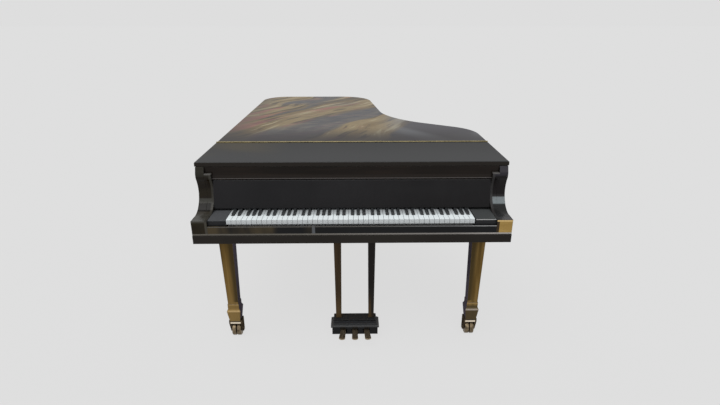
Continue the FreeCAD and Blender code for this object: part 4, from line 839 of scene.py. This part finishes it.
# Studio: a wide pale floor that keeps the piano's soft shadow, an even pale surround, two broad
# soft lights from above and the front, and the camera.
backdrop = (0.730, 0.730, 0.730)
floor_reach = 150.0
shadow_share = 0.07
ground = bmesh.new()
bmesh.ops.create_grid(ground, x_segments=1, y_segments=1, size=floor_reach)
floor_mesh = bpy.data.meshes.new("studio_floor")
ground.to_mesh(floor_mesh)
ground.free()
floor = bpy.data.objects.new("studio_floor", floor_mesh)
bpy.context.scene.collection.objects.link(floor)


def seen_rays(bench):
    """1 for the rays that the camera, gloss and glass send out, 0 for those that carry light."""
    camera_ray = bench.add("ShaderNodeLightPath", {}, {}, "Is Camera Ray")
    glossy_ray = bench.add("ShaderNodeLightPath", {}, {}, "Is Glossy Ray")
    glass_ray = bench.add("ShaderNodeLightPath", {}, {}, "Is Transmission Ray")
    return bench.add(
        "ShaderNodeMath",
        {"operation": "ADD", "use_clamp": True},
        {0: camera_ray + glossy_ray, 1: glass_ray},
    )


floor_look = bpy.data.materials.new("pale_floor")
floor_look.use_nodes = True
floor_look.node_tree.nodes.clear()
bench = Bench(floor_look.node_tree)
matt = bench.add("ShaderNodeBsdfDiffuse", {}, {"Color": (0.78, 0.78, 0.78)})
glow = bench.add("ShaderNodeEmission", {}, {"Color": backdrop, "Strength": 1.0})
shown = bench.add("ShaderNodeMixShader", {}, {0: shadow_share, 1: glow, 2: matt})
both = bench.add("ShaderNodeMixShader", {}, {0: seen_rays(bench), 1: matt, 2: shown})
bench.add("ShaderNodeOutputMaterial", {}, {"Surface": both})
floor_mesh.materials.append(floor_look)

world = bpy.data.worlds.new("even_surround")
bpy.context.scene.world = world
world.use_nodes = True
world.node_tree.nodes.clear()
bench = Bench(world.node_tree)
lit = bench.add("ShaderNodeBackground", {}, {"Color": (1.0, 1.0, 1.0), "Strength": 0.48})
shown = bench.add("ShaderNodeBackground", {}, {"Color": backdrop, "Strength": 1.0})
both = bench.add("ShaderNodeMixShader", {}, {0: seen_rays(bench), 1: lit, 2: shown})
bench.add("ShaderNodeOutputWorld", {}, {"Surface": both})


def soft_light(name, strength, spread, from_x, from_y, from_z):
    """A broad light from that direction, spread over an angle in degrees."""
    lamp = bpy.data.lights.new(name, "SUN")
    lamp.energy = strength
    lamp.angle = math.radians(spread)
    holder = bpy.data.objects.new(name, lamp)
    holder.rotation_euler = Vector((from_x, from_y, from_z)).to_track_quat("Z", "Y").to_euler()
    bpy.context.scene.collection.objects.link(holder)


soft_light("overhead_light", 1.50, 50.0, -0.25, -0.30, 1.0)
soft_light("front_light", 0.75, 50.0, 0.20, -1.0, 0.75)

camera = bpy.data.cameras.new("camera")
camera.lens = 23.25
camera.sensor_width = 36.0
camera_holder = bpy.data.objects.new("camera", camera)
camera_holder.location = (0.008, -3.043, 1.589)
camera_holder.rotation_euler = (math.radians(68.66), 0.0, math.radians(-0.77))
bpy.context.scene.collection.objects.link(camera_holder)
bpy.context.scene.camera = camera_holder
bpy.context.scene.view_settings.view_transform = "Standard"
